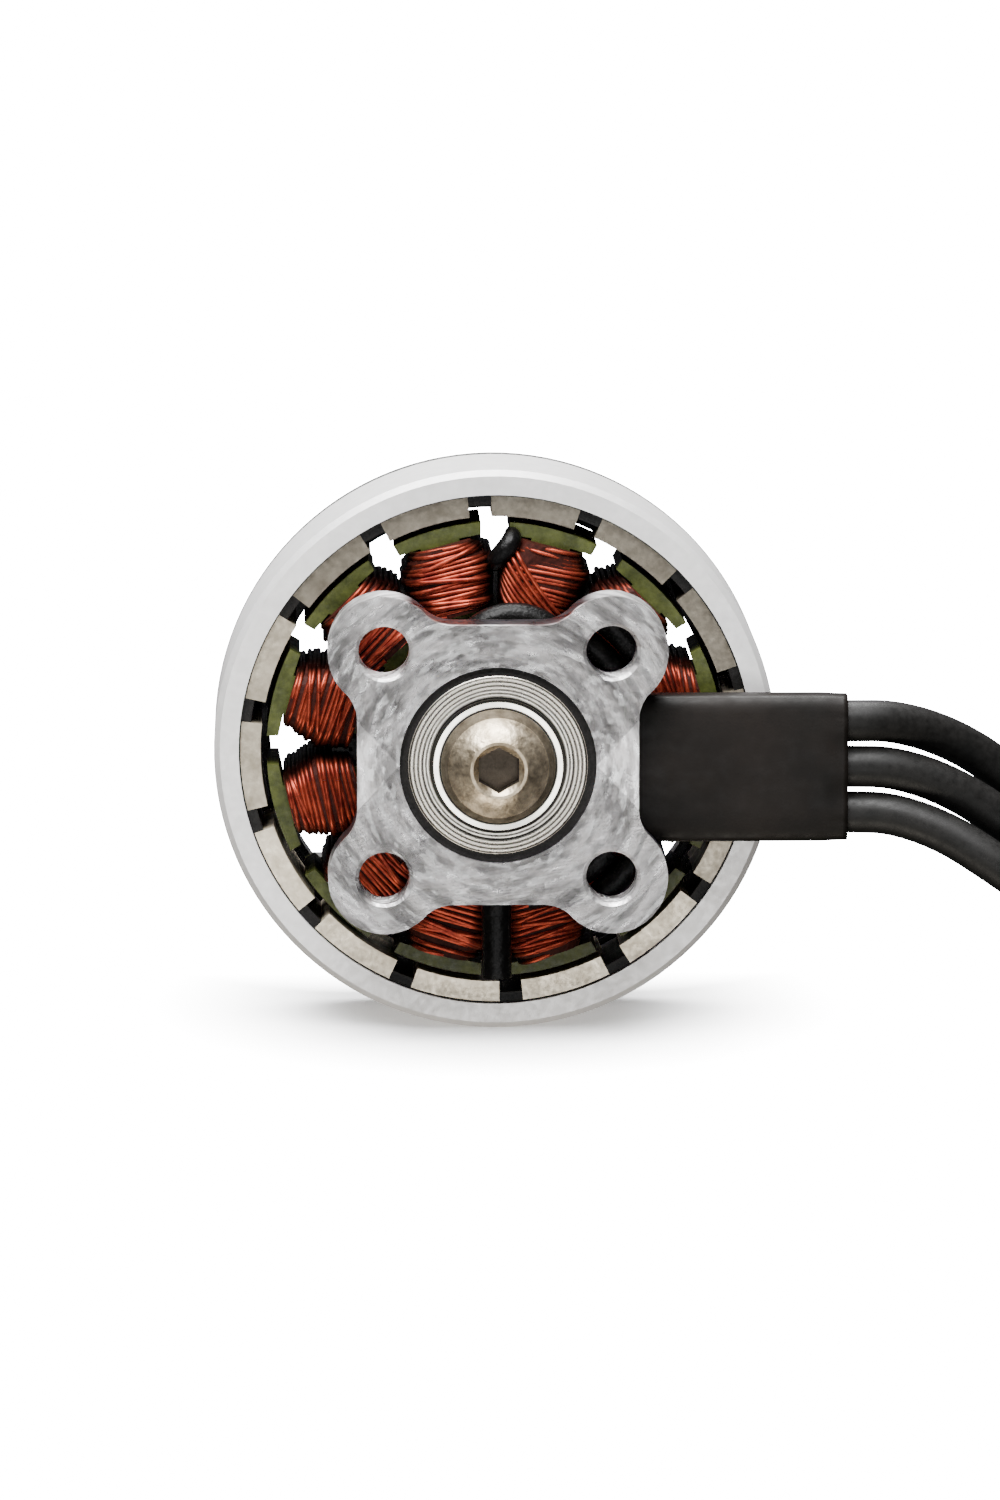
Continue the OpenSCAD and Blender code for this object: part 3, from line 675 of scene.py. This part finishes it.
def lead_path(route):
    """A lead's route, its spiral and its straight end, as points in metres."""
    run = [Vector(p) for p in route]
    turns = [spiral_point(i / SPIRAL_RINGS) for i in range(SPIRAL_STEPS + 1)]
    out = math.radians(-360 * SPIRAL_STEPS / SPIRAL_RINGS - SPIRAL_END_TURN)
    tip = turns[-1] + LEAD_D * Vector((math.cos(out), math.sin(out), 0))
    points = run + [run[-1] + p for p in turns + [tip]]
    path = smooth_path(points, LEAD_PATH_STEPS)
    for p in path:
        p.y = min(p.y, run[-1].y)
    return [(p + Vector((SLEEVE_X, SLEEVE_Y, LEAD_Z))) * MM for p in path]


def make_leads():
    for i, route in enumerate(LEAD_ROUTES, 1):
        path = lead_path(route)
        data = wire(f"lead_{i}", [path], LEAD_D / 2, THICK_WIRE_STEPS)
        lead = add(f"lead_{i}", data, ROOT, "silicone_lead")
        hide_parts(f"lead_{i}_run", f"lead_{i}_coil")


make_leads()


# Flat heat-shrink sleeve, drawn in round the leads at its outer end

SLEEVE_WALL = 0.2
SLEEVE_ROWS = 42
SLEEVE_AROUND = 96
SIDE_POWER = 0.75
FACE_POWER = 0.38
DRAWN_SHARE = 0.14
DRAWN_NARROWER_SHARE = 0.015
VALLEY_SHARE = 0.012
DRAWN_VALLEY_SHARE = 0.13
VALLEYS_BEYOND = 0.4
SLEEVE_SEED = 5
WAVES = 6
WAVE_RATES = (0.3, 1.1)
WAVE_PHASES = (0, 6.3)
WAVE_WEIGHTS = (0.2, 1.0)
WAVE_LEAN = 0.8
WAVE_SHARE = 0.006
THICKNESS_SHARE = 0.985


def sleeve_section(x):
    """Points round the sleeve at a distance x along it, in the plane of its mouth."""
    t = (x - (1 - DRAWN_SHARE) * SLEEVE_L) / (DRAWN_SHARE * SLEEVE_L)
    t = max(0.0, min(1.0, t))
    drawn = t * t * (3 - 2 * t)
    valleys_to = SLEEVE_W / 2 - SLEEVE_T / 2 + VALLEYS_BEYOND
    points = []
    for k in range(SLEEVE_AROUND):
        a = 2 * math.pi * k / SLEEVE_AROUND
        c, s = math.cos(a), math.sin(a)
        y = (SLEEVE_W / 2) * math.copysign(abs(c) ** SIDE_POWER, c)
        z = (SLEEVE_T / 2) * math.copysign(abs(s) ** FACE_POWER, s)
        if abs(y) < valleys_to:
            valley = 0.5 + 0.5 * math.cos(2 * math.pi * (y / LEAD_PITCH + 0.5))
            z *= 1 - (DRAWN_VALLEY_SHARE * drawn + VALLEY_SHARE) * valley
        points.append((y * (1 - DRAWN_NARROWER_SHARE * drawn), z))
    return points


def make_sleeve():
    rng = random.Random(SLEEVE_SEED)
    waves = [
        (rng.uniform(*WAVE_RATES), rng.uniform(*WAVE_PHASES), rng.uniform(*WAVE_WEIGHTS))
        for _ in range(WAVES)
    ]
    along = [i / (SLEEVE_ROWS - 1) * SLEEVE_L for i in range(SLEEVE_ROWS)]
    points = []
    for x in along:
        for y, z in sleeve_section(x):
            wave = sum(most * math.sin(rate * x + phase + WAVE_LEAN * y) for rate, phase, most in waves)
            thick = THICKNESS_SHARE + WAVE_SHARE * wave
            points.append(mm(SLEEVE_X + x, SLEEVE_Y + y, LEAD_Z + z * thick))
    inner_w = 1 - 2 * SLEEVE_WALL / SLEEVE_W
    inner_t = 1 - 2 * SLEEVE_WALL / SLEEVE_T
    for x in reversed(along):
        for y, z in sleeve_section(x):
            points.append(mm(SLEEVE_X + x, SLEEVE_Y + y * inner_w, LEAD_Z + z * inner_t))
    data = mesh("flat_sleeve", points, grid_faces(2 * SLEEVE_ROWS, SLEEVE_AROUND, closed_rows=True))
    sleeve = add("flat_sleeve", data, ROOT, "shrink_sleeve")
    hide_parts("lead_sleeve")


make_sleeve()


# Windings: fine enamelled wire over a dark core, one winding a tooth. A name that ends in STRANDS
# counts strands, and CORNER is how far a rounded corner reaches across and along the shaft.

STRAND_D = 0.235
TURNS = 14
SLOT_HALF = math.radians(180 / TEETH)
CORNER = (1.15, 1.45)
CORNER_MOST_SHARE = 0.9
CORNER_STEPS = 5
CORE_CORNER_STEPS = 4
CORE_END_GAP = 0.05
UNDER_STRANDS = 1.5
OVER_STRANDS = 0.8
FAN_OVER_STRANDS = 1.0
CORE_STRANDS = 0.95
WINDING_SEED = 100
TURN_LEAN = 0.05
TURN_LIFT = 0.11
PITCH_ERROR = 0.055
SLIM_TEETH = (6, 7)
SLIM = 0.25

# Stray turns over the others, as crossings or, on one tooth, as a fan
CROSSINGS = 4
CROSSING_START_GAP = 0.6
CROSSING_END_GAP = 0.4
CROSSING_SHIFT = (0.35, 0.9)
CROSSING_SIDE_STRANDS = 0.6
CROSSING_END_STRANDS = 0.55
FAN_TOOTH = 10
FAN_TURNS = 8
FAN_STEPS = 16
FAN_START = 8.3
FAN_START_STEP = 0.28
FAN_START_SHARE = 0.96
FAN_END_X = 7.2
FAN_END = -1.1
FAN_END_STEP = 0.4
FAN_END_ERROR = 0.03
FAN_SAG = 0.16

# Black varnish in the slots, also painted shade between neighbouring windings: thin in the middle and
# wider at the foot. One slot is left more open.
OPEN_SLOT = 6
VARNISH_R = (7.2, 9.3)
OPEN_VARNISH_R = 8.2
VARNISH_Z = (6.0, 11.6)
VARNISH_HALF = 0.11
FOOT_R = (6.85, 7.35)
FOOT_HALF = 0.55
BOX_FACES = [(0, 1, 3, 2), (4, 6, 7, 5), (0, 4, 5, 1), (2, 3, 7, 6), (0, 2, 6, 4), (1, 5, 7, 3)]


def coil_half(x, slim=0.0):
    """Half the width of a winding at a radius. A slimmer one narrows sooner towards its tip."""
    beside_slot = x * math.tan(SLOT_HALF) - COIL_GAP / 2 / math.cos(SLOT_HALF)
    tapered = COIL_TIP_HALF - slim / 2 + (COIL_R[1] - x) * (COIL_TAPER - slim)
    return min(beside_slot, tapered)


def corner_width(half_w):
    return min(CORNER[0], half_w * CORNER_MOST_SHARE)


def section(half_w, half_h, steps):
    """A winding's cross-section: a rectangle whose corners are quarter ellipses."""
    rw, rh = corner_width(half_w), CORNER[1]
    points = []
    for sy, sz, start in [(1, -1, -90), (1, 1, 0), (-1, 1, 90), (-1, -1, 180)]:
        for k in range(steps + 1):
            a = math.radians(start + 90 * k / steps)
            points.append((sy * (half_w - rw) + rw * math.cos(a), sz * (half_h - rh) + rh * math.sin(a)))
    return points


def turn_loop(rng, x_from, x_to, inset, slim):
    """One turn round a tooth, from one radius to the next."""
    lean = rng.gauss(0, TURN_LEAN)
    lift = rng.uniform(0, TURN_LIFT)
    outline = section(coil_half(x_from, slim) - inset, COIL_HALF_H - inset - lift, CORNER_STEPS)
    points = []
    for n, (y, z) in enumerate(outline):
        x = x_from + (x_to - x_from) * n / len(outline)
        points.append(Vector((x + lean * y, y, z)))
    return points


def layer(rng, x0, x1, inset, slim):
    """A layer of turns side by side, between two radii."""
    edges = [x0 + (x1 - x0) * k / TURNS for k in range(TURNS + 1)]
    for k in range(1, TURNS):
        edges[k] += rng.gauss(0, PITCH_ERROR)
    path = []
    for a, b in zip(edges, edges[1:]):
        path += turn_loop(rng, a, b, inset, slim)
    return path


def corner_drop(x, y):
    """How far the winding's end face falls away at its rounded sides."""
    half_w = coil_half(x) - STRAND_D / 2
    rounding = corner_width(half_w)
    u = max(0.0, min(1.0, (abs(y) - half_w + rounding) / rounding))
    return CORNER[1] * (1 - math.sqrt(1 - u * u))


def fan_strands(rng):
    """Turns that fan out over the others, from the slot beside the joint towards the plate."""
    top = COIL_HALF_H - STRAND_D / 2
    paths = []
    for k in range(FAN_TURNS):
        x = FAN_START + FAN_START_STEP * k
        start = Vector((x, -FAN_START_SHARE * (coil_half(x) - STRAND_D / 2)))
        end = Vector((FAN_END_X, FAN_END + FAN_END_STEP * k + rng.gauss(0, FAN_END_ERROR)))
        across = Vector((end.y - start.y, start.x - end.x)).normalized()
        path = []
        for n in range(FAN_STEPS + 1):
            t = n / FAN_STEPS
            place = start.lerp(end, t) - across * FAN_SAG * 4 * t * (1 - t)
            path.append(Vector((place.x, place.y, corner_drop(place.x, place.y) - top)))
        paths.append(path)
    return paths


def crossing_strands(rng, slim):
    """Stray turns that cross the outer layer over both ends of the stack."""
    paths = []
    for _ in range(CROSSINGS):
        x_from = rng.uniform(COIL_R[0] + CROSSING_START_GAP, COIL_R[1] - CROSSING_START_GAP)
        x_to = x_from + rng.choice((-1, 1)) * rng.uniform(*CROSSING_SHIFT)
        x_to = max(COIL_R[0] + CROSSING_END_GAP, min(COIL_R[1] - CROSSING_END_GAP, x_to))
        narrower = min(coil_half(x_from, slim), coil_half(x_to, slim))
        half_w = narrower - CROSSING_SIDE_STRANDS * STRAND_D
        half_h = COIL_HALF_H - CROSSING_END_STRANDS * STRAND_D
        path = []
        for y, z in section(half_w, half_h, CORNER_STEPS):
            t = 0.5 + 0.5 * y / half_w
            path.append(Vector((x_from + (x_to - x_from) * t, y, z)))
        paths.append(path + path[:1])
    return paths


def place_on_tooth(points, index):
    """Points laid for a tooth on the X axis, turned to the tooth that they belong to."""
    turn = Matrix.Rotation((2 * index - 1) * SLOT_HALF, 4, "Z")
    return [turn @ mm(p.x, p.y, p.z + COIL_MID_Z) for p in points]


def core_block(index, slim):
    """The buried turns, as one dark block round the neck of the tooth, whose dark is painted shade
    between the strands.
    """
    inset = CORE_STRANDS * STRAND_D
    taper = COIL_TAPER - slim
    knee = (COIL_TIP_HALF - slim / 2 + taper * COIL_R[1]) / (math.tan(SLOT_HALF) + taper)
    xs = [COIL_R[0] + CORE_END_GAP, knee, COIL_R[1] - CORE_END_GAP]
    points = []
    for x in xs:
        outline = section(coil_half(x, slim) - inset, COIL_HALF_H - inset, CORE_CORNER_STEPS)
        points += [Vector((x, y, z)) for y, z in outline]
    cols = len(points) // len(xs)
    faces = grid_faces(len(xs), cols)
    faces.append(tuple(range(cols)))
    faces.append(tuple(reversed(range(len(points) - cols, len(points)))))
    name = f"winding_core_{index:02d}"
    data = mesh(name, place_on_tooth(points, index), faces, smooth=False)
    add(name, data, ROOT, "copper_core")


def make_winding(index):
    rng = random.Random(WINDING_SEED + index)
    slim = SLIM if index in SLIM_TEETH else 0.0
    fan = index == FAN_TOOTH
    x0, x1 = COIL_R[0] + STRAND_D / 2, COIL_R[1] - STRAND_D / 2
    under = layer(rng, x0, x1, UNDER_STRANDS * STRAND_D, slim)
    over = layer(rng, x1, x0, (FAN_OVER_STRANDS if fan else OVER_STRANDS) * STRAND_D, slim)
    stray = fan_strands(rng) if fan else crossing_strands(rng, slim)
    paths = [place_on_tooth(path, index) for path in [under + over] + stray]
    name = f"winding_{index:02d}"
    winding = add(name, wire(name, paths, STRAND_D / 2), ROOT, "copper_wire")
    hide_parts(f"coil_{index:02d}")
    core_block(index, slim)


def make_slot_varnish_and_shade():
    """Impregnating varnish that closes the slots between neighbouring windings, black as painted shade
    between them.
    """
    points = []
    faces = []
    for n in range(TEETH):
        turn = Matrix.Rotation(2 * SLOT_HALF * n, 4, "Z")
        outer = OPEN_VARNISH_R if n == OPEN_SLOT else VARNISH_R[1]
        for xs, half in (((VARNISH_R[0], outer), VARNISH_HALF), (FOOT_R, FOOT_HALF)):
            first = len(points)
            points += [turn @ mm(x, y, z) for x in xs for y in (-half, half) for z in VARNISH_Z]
            faces += [tuple(first + k for k in face) for face in BOX_FACES]
    data = mesh("slot_varnish_and_shade", points, faces, smooth=False)
    add("slot_varnish_and_shade", data, ROOT, "black_adhesive")


for tooth in range(1, TEETH + 1):
    make_winding(tooth)
make_slot_varnish_and_shade()


# M3 threads in the four mounting holes: each a rib that winds up the bore

HOLE_ANGLES = (45, 135, 225, 315)
M3_PITCH = 0.5
M3_START_Z = 0.3
M3_TURNS_SHORT = 0.8
M3_STEPS = 32
M3_RIB = [(HOLE_R + 0.02, -0.16), (HOLE_R - 0.04, 0.0), (HOLE_R + 0.02, 0.16)]


def make_hole_threads():
    rows = int((PLATE_T / M3_PITCH - M3_TURNS_SHORT) * M3_STEPS)
    points = []
    for k in range(rows + 1):
        a = 2 * math.pi * k / M3_STEPS
        z = M3_START_Z + M3_PITCH * k / M3_STEPS
        points += [mm(HOLE_PCD_R + r * math.cos(a), r * math.sin(a), z + dz) for r, dz in M3_RIB]
    faces = grid_faces(rows + 1, len(M3_RIB))
    faces += [(0, 2, 1), (3 * rows, 3 * rows + 1, 3 * rows + 2)]
    for n, angle in enumerate(HOLE_ANGLES, 1):
        turn = Matrix.Rotation(math.radians(angle), 4, "Z")
        data = mesh(f"hole_thread_{n}", [turn @ p for p in points], faces)
        add(f"hole_thread_{n}", data, ROOT, "machined_aluminium")


make_hole_threads()


# Shaft with its tapped lower end, its step and the M5 thread of the propeller end

SHAFT_AROUND = 48
FOOT_CHAMFER = 0.15
TOP_CHAMFER = 0.3
TAP_CONE = 0.4
M5_PITCH = 0.8
M5_DEPTH = 0.4
M5_FLANK_SHARE = 0.42
M5_ROWS = 8
M5_PLAIN_L = 0.3
M5_START = 0.4
M5_RUNOUT = 0.8
M5_TOP_GAP = 0.05


def thread_radius(z, k):
    """Radius of the propeller end at a height, at one of the steps round it."""
    phase = (z / M5_PITCH - k / SHAFT_AROUND) % 1
    cut = M5_DEPTH * max(0.0, 1 - abs(phase - 0.5) / M5_FLANK_SHARE)
    fade = min(1.0, (z - SHAFT_Z[2] - M5_START) / M5_RUNOUT)
    limit = PROP_R - max(0.0, z - (SHAFT_Z[3] - TOP_CHAMFER))
    return min(PROP_R - cut * fade, limit)


def make_shaft():
    foot, shoulder, seat, top = SHAFT_Z
    plain = [
        (0, TAP_DEPTH + TAP_CONE), (TAP_R, TAP_DEPTH), (TAP_R, foot),
        (SHAFT_R - FOOT_CHAMFER, foot), (SHAFT_R, foot + FOOT_CHAMFER), (SHAFT_R, shoulder),
        (PRESS_R, shoulder), (PRESS_R, seat), (PROP_R, seat), (PROP_R, seat + M5_PLAIN_L),
    ]
    rows = [[(r, z)] * SHAFT_AROUND for r, z in plain]
    z = seat + M5_START
    while z < top - M5_TOP_GAP:
        rows.append([(thread_radius(z, k), z) for k in range(SHAFT_AROUND)])
        z += M5_PITCH / M5_ROWS
    rows += [[(PROP_R - TOP_CHAMFER, top)] * SHAFT_AROUND, [(0, top)] * SHAFT_AROUND]
    points = []
    for row in rows:
        for k, (r, z) in enumerate(row):
            a = 2 * math.pi * k / SHAFT_AROUND
            points.append(mm(r * math.cos(a), r * math.sin(a), z))
    data = mesh("threaded_shaft", points, grid_faces(len(rows), SHAFT_AROUND))
    data.set_sharp_from_angle(angle=SHARP_ANGLE)
    shaft = add("threaded_shaft", data, ROTOR, "ground_steel")
    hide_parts("shaft")


make_shaft()


# Black bead in the groove round the lower bearing: painted shade deep in the groove

BEAD_AROUND = 96


def make_groove_bead():
    r0, r1, r2 = GROOVE_R
    z0, z1, z2 = GROOVE_Z
    outline = [(r0, z0), (r2, z1), (r2, z2), (r1, z2), (r1, z1)]
    angles = [2 * math.pi * k / BEAD_AROUND for k in range(BEAD_AROUND)]
    points = [mm(r * math.cos(a), r * math.sin(a), z) for a in angles for r, z in outline]
    faces = grid_faces(BEAD_AROUND, len(outline), closed_rows=True)
    data = mesh("groove_bead", points, faces, smooth=False)
    add("groove_bead", data, ROOT, "black_adhesive")


make_groove_bead()


# Sleeved joint of a phase wire, from inside the slot at the top to the winding's corner

JOINT_BEND = [
    (0.85, -10.9, 6.4), (0.82, -10.75, 5.15), (0.62, -10.4, 4.85),
    (0.3, -10.0, 4.85), (0, -9.6, 5.1), (-0.1, -9.4, 5.9),
]
JOINT_R = 0.54
JOINT_END_SHARE = 0.35
JOINT_END_CUT = 0.08
JOINT_PATH_STEPS = 6


def make_joint_sleeve():
    """One thick wire, whose radius swells between its ends."""
    bend = [Vector(p) for p in JOINT_BEND]
    path = [p * MM for p in smooth_path(bend, JOINT_PATH_STEPS)]
    data = wire("joint_sleeve", [path], JOINT_R, THICK_WIRE_STEPS)
    for n, point in enumerate(data.splines[0].points):
        t = JOINT_END_CUT + (1 - 2 * JOINT_END_CUT) * n / (len(path) - 1)
        bulge = math.sqrt(math.sin(math.pi * t))
        point.radius = JOINT_END_SHARE + (1 - JOINT_END_SHARE) * bulge
    add("joint_sleeve", data, ROOT, "black_sleeving")


make_joint_sleeve()


# Floor, and the sheet that the bell rests against in the photograph, in millimetres. The sheet
# fades out away from a centre beside the bell, and towards the propeller end: its grey paper there is a
# painted soft shadow round the bell's foot, over the lamps' own shadows.

PAPER_COLOR = (0.93, 0.93, 0.93, 1)
PAPER_GLOW = 0.3
FLOOR_GLOW = 1.5
FLOOR_HALF = 600
REST_X = (-50, 42)
REST_Z = (-60, 50)
FADE_CENTRE_Z = 13
FADE_R = (5, 27)
FADE_STRETCH = (1, 1, 0.8)
FADE_Z = (16, 26)


def stage_material(name, glow_strength, faded=False):
    """Pale matt surface seen from its front side only."""
    t = Nodes(name)
    t.tree.nodes.clear()
    matt = t.node("ShaderNodeBsdfDiffuse")
    matt.inputs["Color"].default_value = PAPER_COLOR
    glow = t.node("ShaderNodeEmission")
    glow.inputs["Strength"].default_value = glow_strength
    paper = t.node("ShaderNodeAddShader")
    t.feed(paper, (matt.outputs["BSDF"], glow.outputs["Emission"]))
    clear = t.node("ShaderNodeBsdfTransparent").outputs["BSDF"]
    hidden = t.node("ShaderNodeNewGeometry").outputs["Backfacing"]
    # Painted soft shadow: grey paper near the bell, fading to the white backdrop further out
    if faded:
        place = t.node("ShaderNodeTexCoord").outputs["Object"]
        away = t.vector("SUBTRACT", place, mm(0, BELL_R, FADE_CENTRE_Z))
        away = t.vector("LENGTH", t.vector("MULTIPLY", away, FADE_STRETCH))
        out = t.span(away, *FADE_R, interpolation_type="SMOOTHERSTEP")
        up = t.span(t.split(place)["Z"], *FADE_Z)
        hidden = t.calc("MAXIMUM", up, t.calc("MAXIMUM", out, hidden))
    mix = t.node("ShaderNodeMixShader")
    t.feed(mix, (hidden, paper.outputs["Shader"], clear))
    t.link(mix.outputs["Shader"], t.node("ShaderNodeOutputMaterial").inputs["Surface"])
    return t.material


def make_sheet(name, corners, material):
    data = bpy.data.meshes.new(name)
    data.from_pydata([tuple(c) for c in corners], [], [(0, 1, 2, 3)])
    data.materials.append(material)
    o = bpy.data.objects.new(name, data)
    bpy.context.scene.collection.objects.link(o)
    o.visible_shadow = False
    o.visible_diffuse = False
    o.visible_glossy = False


def make_stage():
    square = [(-1, -1), (1, -1), (1, 1), (-1, 1)]
    floor = [mm(FLOOR_HALF * x, FLOOR_HALF * y, 0) for x, y in square]
    make_sheet("floor", floor, stage_material("floor", FLOOR_GLOW))
    (left, right), (low, high) = REST_X, REST_Z
    rest = [mm(x, BELL_R, z) for x, z in [(left, low), (right, low), (right, high), (left, high)]]
    make_sheet("rest_surface", rest, stage_material("rest_surface", PAPER_GLOW, faded=True))


make_stage()


# Light: for each lamp its place, its aim and its width and height in metres, its watts and colour

LAMPS = {
    "top": ((-0.05, -0.34, -0.16), (0, 0, 0.005), (0.30, 0.28), 5.9, (1, 1, 1)),
    "card": ((0.02, 0.09, -0.60), (0, 0, 0.005), (0.26, 0.20), 0.95, (1, 1, 1)),
    "low": ((-0.08, 0.33, -0.20), (0, 0, 0), (0.30, 0.12), 1.1, (1.0, 0.93, 0.82)),
    "above": ((-0.03, -0.36, 0.16), (0, 0, 0.01), (0.26, 0.16), 4.0, (1, 1, 1)),
}
ROOM_COLOR = (0.95, 0.97, 1.0, 1)
ROOM_STRENGTH = 0.06
BACKDROP_COLOR = (1, 1, 1, 1)
BACKDROP_STRENGTH = 24.0


def area_light(name, place, aim, size, power, color):
    data = bpy.data.lights.new(name, "AREA")
    data.shape = "RECTANGLE"
    data.size, data.size_y = size
    data.energy = power
    data.color = color
    o = bpy.data.objects.new(name, data)
    bpy.context.scene.collection.objects.link(o)
    o.location = place
    o.rotation_euler = (Vector(aim) - Vector(place)).to_track_quat("-Z", "Y").to_euler()


def make_world():
    """A dim room round the motor, in front of a backdrop that only the camera sees."""
    world = bpy.data.worlds.new("studio")
    bpy.context.scene.world = world
    world.use_nodes = True
    nodes, links = world.node_tree.nodes, world.node_tree.links
    room = nodes["Background"]
    room.inputs["Color"].default_value = ROOM_COLOR
    room.inputs["Strength"].default_value = ROOM_STRENGTH
    backdrop = nodes.new("ShaderNodeBackground")
    backdrop.inputs["Color"].default_value = BACKDROP_COLOR
    backdrop.inputs["Strength"].default_value = BACKDROP_STRENGTH
    path = nodes.new("ShaderNodeLightPath")
    mix = nodes.new("ShaderNodeMixShader")
    links.new(path.outputs["Is Camera Ray"], mix.inputs["Fac"])
    links.new(room.outputs["Background"], mix.inputs[1])
    links.new(backdrop.outputs["Background"], mix.inputs[2])
    links.new(mix.outputs["Shader"], nodes["World Output"].inputs["Surface"])


for name, values in LAMPS.items():
    area_light(name, *values)
make_world()
